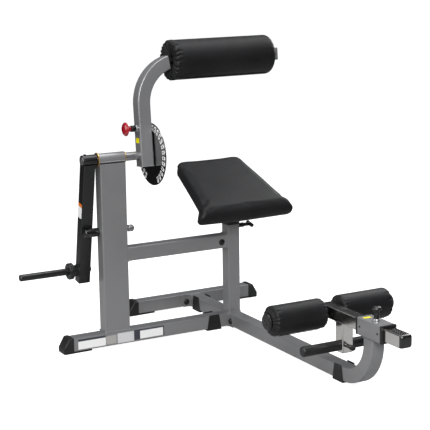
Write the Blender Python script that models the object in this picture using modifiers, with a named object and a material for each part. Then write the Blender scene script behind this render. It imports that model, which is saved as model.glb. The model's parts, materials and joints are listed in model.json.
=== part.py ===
"""Plate-loaded seated trunk machine: welded tube frame, swing arm with a chest roller,
weight arm with a plate horn, tilted seat on a telescoping post, sliding foot carriage.

Metres, +Z up.  -Y is the front (feet), +Y the back, -X the weight side.
The assembly is laid out from the foot of the seat post, and the empty "post_foot"
moves all of it so that the origin lies under the middle of the machine.
"""
import math

import bmesh
import bpy
from mathutils import Matrix

# ---------------------------------------------------------------- driving dimensions
GAP = 0.0003                  # clearance between touching pieces
TUBE = 0.0508                 # side of the square frame tube
WALL = 0.003                  # tube wall
PLATE = 0.005                 # bolting plates at the ends of the base tubes
FOOT_H = 0.0057               # thickness of the rubber under the base tubes
BASE_Z = FOOT_H + GAP + TUBE / 2          # centre height of the base tubes

CROSS_Y = -0.004              # front cross tube
CROSS_LEFT = -0.6797
REAR_CROSS_Y = 0.3344         # rear cross tube
REAR_CROSS_HALF = 0.255
SHOE_CAP = 0.041              # moulded cap beyond the end of a cross tube
SHOE_SIDE = 0.0031            # how far the cap stands out beside the tube
BEND_R = 0.140                # main beam's upturned nose
NOSE_Y = -0.956
SHOE_W = 0.0625               # length of a wrap-round rubber shoe at the floor
SHOE_TOP_W = 0.042            # and at the top of its side flaps
SHOE_LIP = 0.0035             # how far the flaps rise above the tube

UPRIGHT_X = -0.500
UPRIGHT_W = 0.1016
PIVOT_Z = 0.706
HOUSING_R = 0.0212
HOUSING_LEN = 0.1046
HOUSING_BORE = 0.0185
SHAFT_R = 0.0157
SHAFT_LEFT = -0.6135
SHAFT_RIGHT = -0.3065
HUB_R = 0.0200                # weight arm's hub on the shaft
HUB_LEFT = -0.6130
HUB_RIGHT = -0.5562
STOP_Y = 0.0142               # bumper that the weight arm rests on
STOP_Z = 0.434
BRACE_Z = 0.3435
BRACE_H = 0.0525
POST_TOP = 0.405
POST_REACH = 0.200            # how far down the inner post reaches with the seat at its lowest
SEAT_PIN_Z = 0.3945
SEAT_STEP = 0.025             # spacing of the seat's height holes

SLEEVE = 0.060                # foot sleeve: outer side, length and centre
SLEEVE_LEN = 0.126
SLEEVE_Y = -0.966
SLEEVE_Z = 0.2255
FOOT_PIN_Y = -0.970
FOOT_STEP = 0.035             # spacing of the carriage's holes
SLIDE = 0.044                 # plated square tube of the foot carriage
SLIDE_FRONT = -1.124
SLIDE_REAR = -0.664
SLIDE_CAP = 0.012             # domed plug on the front end
DROP_Y = -0.783               # drop tube carrying the foot bar
DROP_BOTTOM = 0.100
FOOT_BAR_Z = 0.125
FOOT_BAR_R = 0.0127
FOOT_BAR_HALF = 0.1665
GRIP_R = 0.0180
AXLE_Y = -0.690
AXLE_Z = 0.2190
AXLE_R = 0.0095
FOOT_ROLLER_R = 0.0535
FOOT_ROLLER_IN = 0.028
FOOT_ROLLER_OUT = 0.247

WEIGHT_LEAN = math.radians(10.72)   # weight arm, from hanging straight down
WEIGHT_X = -0.5883
WEIGHT_W = 0.046
WEIGHT_D = 0.040
WEIGHT_LEN = 0.479
HORN_DOWN = 0.4306
HORN_R = 0.0127
HORN_TIP = -0.840

PAD_LEAN = math.radians(-4.75)      # pad arm, from straight up
PAD_X = -0.360
PAD_SIDE = 0.050
PAD_DROP = 0.042
BUSHING_R = 0.0186            # steel bushing of the pad arm
PAD_STRAIGHT = 0.187
PAD_BEND_R = 0.155
PAD_END_X = -0.2450
INDEX_R = 0.100               # ring of index holes
DISC_R = 0.116
DISC_X = -0.330
DISC_T = 0.004
DISC_HUB_R = 0.024
DISC_HUB_LEN = 0.020
HOLE_R = 0.0055
HOLE_COUNT = 26
HOLE_STEP = math.radians(12)
ROLLER_UP = 0.341             # chest roller axis above the pivot, along the arm
ROLLER_R = 0.0760
ROLLER_LEFT = -0.2405
ROLLER_RIGHT = 0.187
BAR_R = 0.0125                # bar through the chest roller
BAR_RIGHT = 0.221

SEAT_TILT = math.radians(22.8)
SEAT_REAR_Y = 0.185           # top rear edge of the seat pad
SEAT_REAR_Z = 0.6365
SEAT_LEN = 0.368
SEAT_T = 0.045
SEAT_FLAT = 0.265             # length of the flat top, ahead of which the edge rolls over
SEAT_REAR_HALF = 0.143        # half width at the rear edge
SEAT_TAPER = 0.125            # how much the half width grows along the seat
SEAT_FLARE = 0.008
SEAT_ROLL_R = 0.0365          # rolled front edge
BOARD_T = 0.012
INNER_POST = 0.040            # plated tube that carries the seat

LEFT = HORN_TIP
RIGHT = REAR_CROSS_HALF + SHOE_CAP + GAP
FRONT = SLIDE_FRONT - GAP - SLIDE_CAP
BACK = REAR_CROSS_Y + TUBE / 2 + SHOE_SIDE
POST_FOOT = (-(LEFT + RIGHT) / 2, -(FRONT + BACK) / 2)   # seat post axis in the finished frame

AXIS_TURN = {
    "+X": (0, math.pi / 2, 0),
    "-X": (0, -math.pi / 2, 0),
    "+Y": (-math.pi / 2, 0, 0),
    "-Y": (math.pi / 2, 0, 0),
    "+Z": (0, 0, 0),
}

for old in list(bpy.data.objects):
    bpy.data.objects.remove(old)

PARTS = bpy.data.collections.new("roman_chair")
TOOLS = bpy.data.collections.new("cutters")
bpy.context.scene.collection.children.link(PARTS)
bpy.context.scene.collection.children.link(TOOLS)


# ---------------------------------------------------------------- materials
def material(name, colour, roughness, metallic):
    """Return a plain Principled material."""
    made = bpy.data.materials.new(name)
    made.use_nodes = True
    shader = made.node_tree.nodes["Principled BSDF"]
    shader.inputs["Base Color"].default_value = (*colour, 1)
    shader.inputs["Roughness"].default_value = roughness
    shader.inputs["Metallic"].default_value = metallic
    return made


FRAME_PAINT = material("frame_paint", (0.17, 0.17, 0.175), 0.42, 0.3)
BLACK_PAINT = material("black_paint", (0.022, 0.022, 0.024), 0.35, 0.2)
GLOSS_BLACK = material("gloss_black", (0.015, 0.015, 0.016), 0.12, 0.0)
RUBBER = material("rubber", (0.02, 0.02, 0.02), 0.7, 0.0)
PLASTIC = material("black_plastic", (0.025, 0.025, 0.026), 0.45, 0.0)
PLATED = material("plated_steel", (0.72, 0.72, 0.73), 0.2, 1.0)
STEEL = material("bright_steel", (0.55, 0.55, 0.56), 0.28, 1.0)
BRONZE = material("bronze", (0.62, 0.43, 0.2), 0.4, 0.9)
VINYL = material("black_vinyl", (0.03, 0.03, 0.032), 0.5, 0.0)
RED = material("red_plastic", (0.35, 0.012, 0.02), 0.25, 0.0)
PLYWOOD = material("plywood", (0.42, 0.29, 0.17), 0.7, 0.0)


# ---------------------------------------------------------------- modelling helpers
def place(thing, parent, location, rotation=(0, 0, 0), collection=PARTS):
    """Link an object and put it at a point of its parent's frame."""
    collection.objects.link(thing)
    thing.parent = parent
    thing.location = location
    thing.rotation_euler = rotation
    if collection is TOOLS:
        thing.hide_render = True
        thing.display_type = "WIRE"
    return thing


def pivot(name, parent, location, tilt=0.0):
    """Empty on a joint's axis; tilt turns it about X."""
    empty = bpy.data.objects.new(name, None)
    return place(empty, parent, location, (tilt, 0, 0))


def finish(mesh, paint, smooth=True):
    """Shade a mesh and give it its material."""
    if paint is not None:
        mesh.materials.append(paint)
    if smooth:
        mesh.shade_smooth()
        mesh.set_sharp_from_angle(angle=math.radians(35))


def bevel(thing, width, segments=1):
    """Round the sharp edges of an object."""
    modifier = thing.modifiers.new("Round", "BEVEL")
    modifier.width = width
    modifier.segments = segments
    modifier.limit_method = "ANGLE"
    modifier.angle_limit = math.radians(40)


def cube_mesh(name, size, open_faces=()):
    """Box mesh of a given size, with the named faces (such as "+X") taken off."""
    shape = bmesh.new()
    bmesh.ops.create_cube(shape, size=1.0, matrix=Matrix.Diagonal((*size, 1)))
    gone = []
    for face in shape.faces:
        for label in open_faces:
            axis = "XYZ".index(label[1])
            sign = 1 if label[0] == "+" else -1
            if face.normal[axis] * sign > 0.9:
                gone.append(face)
    bmesh.ops.delete(shape, geom=gone, context="FACES")
    mesh = bpy.data.meshes.new(name)
    shape.to_mesh(mesh)
    shape.free()
    return mesh


def box(name, size, paint, parent, location, rotation=(0, 0, 0), radius=0.0, collection=PARTS):
    """Solid block with slightly rounded edges."""
    mesh = cube_mesh(name, size)
    finish(mesh, paint, smooth=False)
    thing = place(bpy.data.objects.new(name, mesh), parent, location, rotation, collection)
    if radius:
        bevel(thing, radius)
    return thing


def tube(name, size, open_faces, paint, parent, location, rotation=(0, 0, 0), wall=WALL):
    """Hollow rectangular tube, open at the named faces."""
    mesh = cube_mesh(name, size, open_faces)
    finish(mesh, paint, smooth=False)
    thing = place(bpy.data.objects.new(name, mesh), parent, location, rotation)
    bevel(thing, 0.0035, 2)
    shell = thing.modifiers.new("Wall", "SOLIDIFY")
    shell.thickness = wall
    shell.offset = -1
    shell.use_even_offset = True
    return thing


def turned(name, profile, paint, parent, location, axis="+Z", steps=24, ring=False, collection=PARTS):
    """Lathe a (radius, height) profile, listed from top to bottom on its outer side."""
    count = len(profile)
    points = [(radius, 0, height) for radius, height in profile]
    edges = [(i, i + 1) for i in range(count - 1)]
    if ring:
        edges.append((count - 1, 0))
    mesh = bpy.data.meshes.new(name)
    mesh.from_pydata(points, edges, [])
    finish(mesh, paint, smooth=False)
    thing = place(bpy.data.objects.new(name, mesh), parent, location, AXIS_TURN[axis], collection)
    screw = thing.modifiers.new("Turn", "SCREW")
    screw.steps = steps
    screw.render_steps = steps
    screw.use_merge_vertices = True
    screw.merge_threshold = 0.00001
    screw.use_smooth_shade = True
    return thing


def rod_profile(radius, length, chamfer=0.001):
    """Solid bar centred on its own middle."""
    half = length / 2
    return [(0, half), (radius - chamfer, half), (radius, half - chamfer),
            (radius, chamfer - half), (radius - chamfer, -half), (0, -half)]


def pipe_profile(radius, bore, length, chamfer=0.0008):
    """Hollow bar centred on its own middle."""
    half = length / 2
    return [(bore, half), (radius - chamfer, half), (radius, half - chamfer),
            (radius, chamfer - half), (radius - chamfer, -half), (bore, -half)]


def rod(name, radius, x_range, paint, parent, y, z, steps=24, bore=0.0, chamfer=0.001):
    """Bar or pipe along X between two places."""
    length = x_range[1] - x_range[0]
    middle = (x_range[0] + x_range[1]) / 2
    if bore:
        profile = pipe_profile(radius, bore, length, chamfer)
    else:
        profile = rod_profile(radius, length, chamfer)
    return turned(name, profile, paint, parent, (middle, y, z), "+X", steps, ring=bool(bore))


def curve_object(name, points, cyclic, parent, location, rotation, collection):
    """Poly curve through points given in its own plane or space."""
    data = bpy.data.curves.new(name, "CURVE")
    data.dimensions = "3D"
    spline = data.splines.new("POLY")
    spline.points.add(len(points) - 1)
    for slot, point in zip(spline.points, points):
        slot.co = (*point, 1)
    spline.use_cyclic_u = cyclic
    return place(bpy.data.objects.new(name, data), parent, location, rotation, collection)


def solid_from_curve(curve, paint):
    """Replace a curve object by its welded mesh."""
    bpy.context.view_layer.update()
    graph = bpy.context.evaluated_depsgraph_get()
    mesh = bpy.data.meshes.new_from_object(curve.evaluated_get(graph))
    shape = bmesh.new()
    shape.from_mesh(mesh)
    bmesh.ops.remove_doubles(shape, verts=shape.verts, dist=0.00001)
    bmesh.ops.recalc_face_normals(shape, faces=shape.faces)
    shape.to_mesh(mesh)
    shape.free()
    mesh.materials.clear()
    finish(mesh, paint)
    name = curve.name
    parent, location, rotation = curve.parent, curve.location.copy(), curve.rotation_euler.copy()
    collection = curve.users_collection[0]
    bpy.data.objects.remove(curve)
    return place(bpy.data.objects.new(name, mesh), parent, location, rotation, collection)


def prism(name, outline, depth, paint, parent, location, rotation=(0, 0, 0), collection=PARTS):
    """Flat outline in the local XY plane, thickened by depth along local Z."""
    data = bpy.data.curves.new(name, "CURVE")
    data.dimensions = "2D"
    data.fill_mode = "BOTH"
    data.extrude = depth / 2
    spline = data.splines.new("POLY")
    spline.points.add(len(outline) - 1)
    for slot, (u, v) in zip(spline.points, outline):
        slot.co = (u, v, 0, 1)
    spline.use_cyclic_u = True
    curve = place(bpy.data.objects.new(name, data), parent, location, rotation, collection)
    return solid_from_curve(curve, paint)


def rounded_rectangle(width, depth, radius, corner_steps=2):
    """Outline of a rectangular tube's outside."""
    points = []
    for quarter in range(4):
        start = quarter * math.pi / 2
        sign_u = 1 if quarter in (0, 3) else -1
        sign_v = 1 if quarter in (0, 1) else -1
        for step in range(corner_steps + 1):
            angle = start + step * math.pi / 2 / corner_steps
            points.append((sign_u * (width / 2 - radius) + radius * math.cos(angle),
                           sign_v * (depth / 2 - radius) + radius * math.sin(angle)))
    return points


def bent_tube(name, path, side, paint, parent, location, wall=WALL):
    """Square tube swept along a path, hollow and open at both ends."""
    outline = [(u, v, 0) for u, v in rounded_rectangle(side, side, 0.0035)]
    section = curve_object(name + "_section", outline, True, parent, location, (0, 0, 0), TOOLS)
    curve = curve_object(name, path, False, parent, location, (0, 0, 0), PARTS)
    curve.data.twist_mode = "MINIMUM"
    curve.data.bevel_mode = "OBJECT"
    curve.data.bevel_object = section
    thing = solid_from_curve(curve, paint)
    bpy.data.objects.remove(section)
    shell = thing.modifiers.new("Wall", "SOLIDIFY")
    shell.thickness = wall
    shell.offset = -1
    shell.use_even_offset = True
    return thing


def combine(thing, other, operation):
    """Cut an object with another, or weld the other to it."""
    modifier = thing.modifiers.new(operation.title(), "BOOLEAN")
    modifier.operation = operation
    modifier.object = other
    modifier.solver = "EXACT"


def drill(thing, radius, axis, parent, location, depth, steps=16):
    """Round hole through an object."""
    name = f"drill_{thing.name}_{len(thing.modifiers)}"
    tool = turned(name, rod_profile(radius, depth, 0.0001), None, parent, location, axis, steps,
                  collection=TOOLS)
    combine(thing, tool, "DIFFERENCE")


def bolt(name, held, parent, location, axis, head_r=0.0105, head_h=0.006, shank_r=0.005, shank=0.0025):
    """Round-headed bolt in a hole of the held piece: origin under the head, axis pointing outwards."""
    drill(held, shank_r + GAP, axis, parent, location, 0.012)
    profile = [(0, head_h), (head_r * 0.62, head_h), (head_r * 0.92, head_h * 0.72),
               (head_r, head_h * 0.35), (head_r, GAP), (shank_r, GAP), (shank_r, -shank), (0, -shank)]
    return turned(name, profile, BLACK_PAINT, parent, location, axis, 16)


def spring(name, radius, wire, length, turns, parent, location, axis):
    """Compression spring starting at its location and running along the axis."""
    per_turn = 8
    points = []
    for step in range(turns * per_turn + 1):
        angle = 2 * math.pi * step / per_turn
        climb = wire + (length - 2 * wire) * step / (turns * per_turn)
        points.append((radius * math.cos(angle), radius * math.sin(angle), climb))
    curve = curve_object(name, points, False, parent, location, AXIS_TURN[axis], PARTS)
    curve.data.bevel_depth = wire
    curve.data.bevel_resolution = 1
    curve.data.use_fill_caps = True
    return solid_from_curve(curve, STEEL)


# ---------------------------------------------------------------- joint frames
post_foot = pivot("post_foot", None, (*POST_FOOT, 0))
swing = pivot("swing_pivot", post_foot, (0, 0, PIVOT_Z), WEIGHT_LEAN)
shaft_line = pivot("shaft_line", post_foot, (0, 0, PIVOT_Z))
pad = pivot("pad_arm_pivot", post_foot, (0, 0, PIVOT_Z), PAD_LEAN)
seat = pivot("seat_slide", post_foot, (0, 0, POST_TOP))
carriage = pivot("foot_slide", post_foot, (0, SLEEVE_Y, SLEEVE_Z))


# ---------------------------------------------------------------- base frame
def flange(thing, size, location):
    """Weld a bolting plate to the end of a base tube."""
    plate = box("plate_" + thing.name, size, None, post_foot, location, collection=TOOLS)
    combine(thing, plate, "UNION")


def base_frame():
    """Main beam with its upturned nose, and the two cross tubes."""
    bend_y = NOSE_Y + BEND_R
    beam_rear = REAR_CROSS_Y - TUBE / 2 - GAP - PLATE
    path = [(0, beam_rear + PLATE / 2, BASE_Z), (0, bend_y, BASE_Z)]
    steps = 10
    for step in range(1, steps + 1):
        angle = math.pi / 2 * step / steps
        path.append((0, bend_y - BEND_R * math.sin(angle), BASE_Z + BEND_R * (1 - math.cos(angle))))
    path.append((0, NOSE_Y, SLEEVE_Z - SLEEVE / 2 - GAP))
    beam = bent_tube("main_beam", path, TUBE, FRAME_PAINT, post_foot, (0, 0, 0))
    plate_w, plate_h = 0.114, TUBE - 0.001
    flange(beam, (plate_w, PLATE, plate_h), (0, beam_rear + PLATE / 2, BASE_Z))

    cross_right = -TUBE / 2 - GAP - PLATE
    tube_right = cross_right + PLATE / 2
    length = tube_right - CROSS_LEFT
    middle = (tube_right + CROSS_LEFT) / 2
    cross = tube("front_cross_tube", (length, TUBE, TUBE), ("-X", "+X"), FRAME_PAINT, post_foot,
                 (middle, CROSS_Y, BASE_Z))
    flange(cross, (PLATE, plate_w, plate_h), (tube_right, CROSS_Y, BASE_Z))
    tube("rear_cross_tube", (2 * REAR_CROSS_HALF, TUBE, TUBE), ("-X", "+X"), FRAME_PAINT, post_foot,
         (0, REAR_CROSS_Y, BASE_Z))

    bolt_reach = 0.041
    for side, label in ((-1, "front"), (1, "rear")):
        spot = (cross_right, CROSS_Y + side * bolt_reach, BASE_Z - 0.003)
        bolt("cross_flange_bolt_" + label, cross, post_foot, spot, "-X")
    for side, label in ((-1, "left"), (1, "right")):
        spot = (side * bolt_reach, beam_rear, BASE_Z - 0.005)
        bolt("beam_flange_bolt_" + label, beam, post_foot, spot, "-Y")


def end_shoe(name, parent, tip, side, y):
    """Plastic end cap of a base tube with its foot strip; side is -1 for the left end."""
    strip, cap, shoulder = 0.113, SHOE_CAP, 0.022
    top = FOOT_H + GAP + TUBE + 0.002
    width = TUBE + 2 * SHOE_SIDE
    outline = [(0, 0), (0, 0.020), (shoulder, top), (cap, top), (cap, 0)]
    placed = [(tip - side * u, v) for u, v in outline]
    thing = prism(name, placed, width, RUBBER, parent, (0, y, 0), (math.pi / 2, 0, 0))
    bevel(thing, 0.003)
    start = cap - 0.012
    middle = tip - side * (start + strip) / 2
    under = box("strip_" + name, (strip - start, width - 0.008, FOOT_H - 0.0005), None, parent,
                (middle, y, FOOT_H / 2), collection=TOOLS)
    combine(thing, under, "UNION")


def wrap_shoe(name, parent, middle, y, along_x):
    """U-shaped rubber shoe hugging the sides and bottom of a base tube."""
    inside = TUBE / 2 + GAP
    outside = inside + 0.0026
    top = FOOT_H + GAP + TUBE + SHOE_LIP
    outline = [(-outside, 0), (outside, 0), (outside, top), (inside, top), (inside, FOOT_H),
               (-inside, FOOT_H), (-inside, top), (-outside, top)]
    turn = (math.pi / 2, 0, math.pi / 2) if along_x else (math.pi / 2, 0, 0)
    shoe = prism(name, outline, SHOE_W, RUBBER, parent, (middle, y, 0), turn)
    narrowing = (1 - SHOE_TOP_W / SHOE_W) / top
    for vertex in shoe.data.vertices:
        vertex.co.z *= 1 - narrowing * vertex.co.y


def shoes():
    """All the rubber and plastic the machine stands on."""
    tip = CROSS_LEFT - SHOE_CAP - GAP
    end_shoe("front_cross_shoe", post_foot, tip, -1, CROSS_Y)
    rear_tip = REAR_CROSS_HALF + SHOE_CAP + GAP
    end_shoe("rear_left_shoe", post_foot, -rear_tip, -1, REAR_CROSS_Y)
    end_shoe("rear_right_shoe", post_foot, rear_tip, 1, REAR_CROSS_Y)
    wrap_shoe("cross_tube_shoe", post_foot, -0.0945, CROSS_Y, True)
    wrap_shoe("beam_rear_shoe", post_foot, 0, 0.247, False)
    wrap_shoe("beam_front_shoe", post_foot, 0, -0.784, False)


def tower():
    """Upright with the pivot housing on top, seat post and the brace between them."""
    foot = BASE_Z + TUBE / 2 + GAP
    top = PIVOT_Z - HOUSING_R + 0.005
    upright = tube("upright", (UPRIGHT_W, TUBE, top - foot), ("-Z", "+Z"), FRAME_PAINT, post_foot,
                   (UPRIGHT_X, 0, (top + foot) / 2))
    drill(upright, HOUSING_R + GAP, "+X", post_foot, (UPRIGHT_X, 0, PIVOT_Z), 0.2, 24)
    housing_left = UPRIGHT_X - UPRIGHT_W / 2
    rod("pivot_housing", HOUSING_R, (housing_left, housing_left + HOUSING_LEN), FRAME_PAINT,
        post_foot, 0, PIVOT_Z, steps=24, bore=HOUSING_BORE)

    length = POST_TOP - foot
    post = tube("seat_post", (TUBE, TUBE, length), ("-Z", "+Z"), FRAME_PAINT, post_foot,
                (0, 0, foot + length / 2))
    drill(post, 0.0062, "+X", post_foot, (TUBE / 2, 0, SEAT_PIN_Z), 0.02)
    brace_left = UPRIGHT_X + UPRIGHT_W / 2 + GAP
    brace_right = -TUBE / 2 - GAP
    brace_w = TUBE - 0.004
    brace = tube("brace_tube", (brace_right - brace_left, brace_w, BRACE_H), ("-X", "+X"), FRAME_PAINT,
                 post_foot, ((brace_left + brace_right) / 2, 0, BRACE_Z))
    bolt("brace_bolt", brace, post_foot, (-0.0525, -brace_w / 2, BRACE_Z - 0.002), "-Y")

    collar_w, collar_h, clearance = 0.054, 0.014, 0.001
    collar = prism("post_bushing", rounded_rectangle(collar_w, collar_w, 0.006), collar_h, PLASTIC, post_foot,
                   (0, 0, POST_TOP + GAP + collar_h / 2))
    bore_w = INNER_POST + clearance
    bore = box("bore_post_bushing", (bore_w, bore_w, 0.05), None, post_foot, (0, 0, POST_TOP),
               collection=TOOLS)
    combine(collar, bore, "DIFFERENCE")


def stop():
    """Rubber bumper that the weight arm rests on, and the bolt that holds it."""
    face = UPRIGHT_X - UPRIGHT_W / 2
    bumper = [(0, 0.056), (0.010, 0.056), (0.0148, 0.0535), (0.0162, 0.049), (0.0162, GAP), (0, GAP)]
    turned("stop_bumper", bumper, RUBBER, post_foot, (face, STOP_Y, STOP_Z), "-X", 24)
    far = UPRIGHT_X + UPRIGHT_W / 2
    nut = [(0, 0.042), (0.006, 0.042), (0.006, 0.038), (0.0115, 0.038), (0.0125, 0.036), (0.0125, 0.020),
           (0.0085, 0.019), (0.0085, 0.004), (0.0145, 0.003), (0.0145, GAP), (0, GAP)]
    turned("stop_bolt", nut, STEEL, post_foot, (far, STOP_Y, STOP_Z), "+X", 12)


def housing_bushings():
    """Flanged bronze bushings in both ends of the pivot housing."""
    left = UPRIGHT_X - UPRIGHT_W / 2
    right = left + HOUSING_LEN
    outer, bore, lip, depth = HOUSING_BORE - GAP, SHAFT_R + GAP, 0.0042, 0.020
    for name, place_x, axis, flange_r in (("left_bushing", left, "-X", 0.025),
                                          ("right_bushing", right, "+X", 0.0195)):
        profile = [(bore, lip), (flange_r, lip), (flange_r, GAP), (outer, GAP), (outer, -depth),
                   (bore, -depth)]
        turned(name, profile, BRONZE, post_foot, (place_x, 0, PIVOT_Z), axis, 24, ring=True)


# ---------------------------------------------------------------- swing: shaft, weight arm, disc
def swing_group():
    """Everything welded or bolted to the pivot shaft."""
    rod("pivot_shaft", SHAFT_R, (SHAFT_LEFT, SHAFT_RIGHT), STEEL, shaft_line, 0, 0, steps=24)
    hub_bore = SHAFT_R + GAP
    rod("weight_arm_hub", HUB_R, (HUB_LEFT, HUB_RIGHT), BLACK_PAINT, shaft_line, 0, 0,
        bore=hub_bore)

    top = 0.014
    length = WEIGHT_LEN - top
    arm = tube("weight_arm", (WEIGHT_W, WEIGHT_D, length), ("+Z",), BLACK_PAINT, swing,
               (WEIGHT_X, 0, -top - length / 2))
    drill(arm, HUB_R + GAP, "+X", swing, (WEIGHT_X, 0, 0), 0.1, 24)
    arm_right = WEIGHT_X + WEIGHT_W / 2
    arm_left = WEIGHT_X - WEIGHT_W / 2
    rod("weight_horn", HORN_R, (HORN_TIP, arm_left - GAP), BLACK_PAINT, swing, 0, -HORN_DOWN, chamfer=0.003)
    inner, flange_r, boss_r = HORN_R + GAP, 0.031, 0.021
    base = arm_left - GAP
    collar = [(inner, 0.038), (flange_r - 0.003, 0.038), (flange_r, 0.035), (flange_r, 0.022),
              (flange_r - 0.002, 0.020), (boss_r, 0.020), (boss_r, 0), (inner, 0)]
    turned("horn_collar", collar, BLACK_PAINT, swing, (base, 0, -HORN_DOWN), "-X", 24, ring=True)
    bolt("horn_bolt", arm, swing, (arm_right, 0, -HORN_DOWN), "+X", head_r=0.0115, head_h=0.008)


def index_disc():
    """Glossy disc with a hub and a ring of holes, fixed on the shaft."""
    bore, half, chamfer = SHAFT_R + GAP, DISC_T / 2, 0.001
    profile = [(bore, DISC_HUB_LEN), (DISC_HUB_R - chamfer, DISC_HUB_LEN),
               (DISC_HUB_R, DISC_HUB_LEN - chamfer), (DISC_HUB_R, half), (DISC_R - chamfer, half),
               (DISC_R, half - chamfer), (DISC_R, chamfer - half), (DISC_R - chamfer, -half), (bore, -half)]
    disc = turned("index_disc", profile, GLOSS_BLACK, shaft_line, (DISC_X, 0, 0), "+X", 48, ring=True)
    before_pin = 12
    first = math.radians(90) - PAD_LEAN + before_pin * HOLE_STEP
    for number in range(HOLE_COUNT):
        angle = first - number * HOLE_STEP
        y, z = -INDEX_R * math.cos(angle), INDEX_R * math.sin(angle)
        drill(disc, HOLE_R, "+X", shaft_line, (DISC_X, y, z), 0.03, 8)


# ---------------------------------------------------------------- pad arm and its index pin
def pad_arm_group():
    """Bent arm, its bearing on the shaft, the roller bar and the index pin's barrel."""
    path = [(PAD_X, 0, -PAD_DROP), (PAD_X, 0, PAD_STRAIGHT)]
    steps = 10
    sweep = math.radians(80)
    centre = PAD_X + PAD_BEND_R
    for step in range(1, steps + 1):
        angle = sweep * step / steps
        path.append((centre - PAD_BEND_R * math.cos(angle), 0, PAD_STRAIGHT + PAD_BEND_R * math.sin(angle)))
    path.append((path[-1][0] + 0.03 * math.sin(sweep), 0, path[-1][2] + 0.03 * math.cos(sweep)))
    arm = bent_tube("pad_arm", path, PAD_SIDE, FRAME_PAINT, pad, (0, 0, 0))
    trim = box("trim_pad_arm", (0.2, 0.2, 0.2), None, pad, (PAD_END_X + 0.1, 0, ROLLER_UP), collection=TOOLS)
    combine(arm, trim, "DIFFERENCE")
    plate = box("foot_pad_arm", (PAD_SIDE - 0.001, PAD_SIDE - 0.001, 0.003), None, pad,
                (PAD_X, 0, 0.0016 - PAD_DROP), collection=TOOLS)
    combine(arm, plate, "UNION")
    drill(arm, BUSHING_R + GAP, "+X", pad, (PAD_X, 0, 0), 0.1, 24)
    drill(arm, 0.0056, "+X", pad, (PAD_X, 0, INDEX_R), 0.1)
    half = PAD_SIDE / 2
    inset = 0.0005
    rod("pad_arm_bushing", BUSHING_R, (PAD_X - half + inset, PAD_X + half - inset), STEEL, pad, 0, 0,
        bore=SHAFT_R + GAP)

    bar_left = PAD_END_X + GAP
    reach = BAR_RIGHT - bar_left
    end_side, end_len = 0.047, 0.030
    bar_profile = [(0, reach - 0.001), (BAR_R, reach - 0.001), (BAR_R, 0), (0, 0)]
    bar = turned("roller_bar", bar_profile, FRAME_PAINT, pad, (bar_left, 0, ROLLER_UP), "+X", 24)
    end = box("end_roller_bar", (end_len, end_side, end_side), None, pad,
              (BAR_RIGHT - end_len / 2, 0, ROLLER_UP), radius=0.003, collection=TOOLS)
    combine(bar, end, "UNION")

    barrel = [(0.0055, 0.026), (0.0108, 0.026), (0.0118, 0.0245), (0.0118, 0.009), (0.0132, 0.008),
              (0.0132, GAP), (0.0080, GAP), (0.0080, 0.0235), (0.0055, 0.0235)]
    turned("index_pin_barrel", barrel, PLASTIC, pad, (PAD_X - half, 0, INDEX_R), "-X", 20, ring=True)
    knob = [(0, 0.0570), (0.0085, 0.0563), (0.0165, 0.0540), (0.0228, 0.0505), (0.0262, 0.0462),
            (0.0250, 0.0432), (0.0180, 0.0410), (0.0115, 0.0385), (0.0098, 0.0330), (0.0102, 0.0268),
            (0.0050, 0.0268), (0.0050, 0.0055), (0.0074, 0.0055), (0.0074, 0.0030), (0.0048, 0.0030),
            (0.0048, -0.0480), (0.0034, -0.0492), (0, -0.0492)]
    turned("index_pin_knob", knob, RED, pad, (PAD_X - half, 0, INDEX_R), "-X", 16)
    spring("index_pin_spring", 0.0064, 0.0007, 0.0172, 4, pad, (PAD_X - half - 0.0060, 0, INDEX_R), "-X")


# ---------------------------------------------------------------- rollers
def roller(name, radius, bore, length, end_r, parent, location):
    """Padded roller: straight barrel with drawn-in ends and a bore."""
    half = length / 2
    round_off = radius - end_r
    profile = [(bore, half), (end_r, half), (radius, half - round_off),
               (radius, round_off - half), (end_r, -half), (bore, -half)]
    turned(name, profile, VINYL, parent, location, "+X", 24, ring=True)


def rollers():
    """Chest roller on the pad arm, two foot rollers on the carriage axle."""
    middle = (ROLLER_LEFT + ROLLER_RIGHT) / 2
    clearance = 0.0005
    roller("chest_roller", ROLLER_R, BAR_R + clearance, ROLLER_RIGHT - ROLLER_LEFT, 0.066, pad,
           (middle, 0, ROLLER_UP))
    length = FOOT_ROLLER_OUT - FOOT_ROLLER_IN
    middle = (FOOT_ROLLER_OUT + FOOT_ROLLER_IN) / 2
    for side, label in ((-1, "left"), (1, "right")):
        spot = (side * middle, AXLE_Y - SLEEVE_Y, AXLE_Z - SLEEVE_Z)
        roller("foot_roller_" + label, FOOT_ROLLER_R, AXLE_R + clearance, length, 0.046, carriage, spot)


# ---------------------------------------------------------------- seat
def seat_point(along, up):
    """Point of the seat's side view: along from the rear edge, up from the top face."""
    y = SEAT_REAR_Y - along * math.cos(SEAT_TILT) - up * math.sin(SEAT_TILT)
    z = SEAT_REAR_Z - along * math.sin(SEAT_TILT) + up * math.cos(SEAT_TILT) - POST_TOP
    return y, z


def seat_half_width(along):
    """Half width of the seat, flared over the rolled front edge."""
    flare = max(0.0, (along - SEAT_FLAT) / (SEAT_LEN - SEAT_FLAT))
    return SEAT_REAR_HALF + SEAT_TAPER * along + SEAT_FLARE * flare * (2 - flare)


def seat_slab(name, profile, paint, inset):
    """Side profile across the seat, its sides following the flared plan."""
    outline = [seat_point(along, up) for along, up in profile]
    slab = prism(name, outline, 2.0, paint, seat, (0, 0, 0), (math.pi / 2, 0, math.pi / 2))
    for vertex in slab.data.vertices:
        y, z = vertex.co.x, vertex.co.y + POST_TOP
        along = (SEAT_REAR_Y - y) * math.cos(SEAT_TILT) + (SEAT_REAR_Z - z) * math.sin(SEAT_TILT)
        vertex.co.z *= seat_half_width(along) - inset
    return slab


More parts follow.
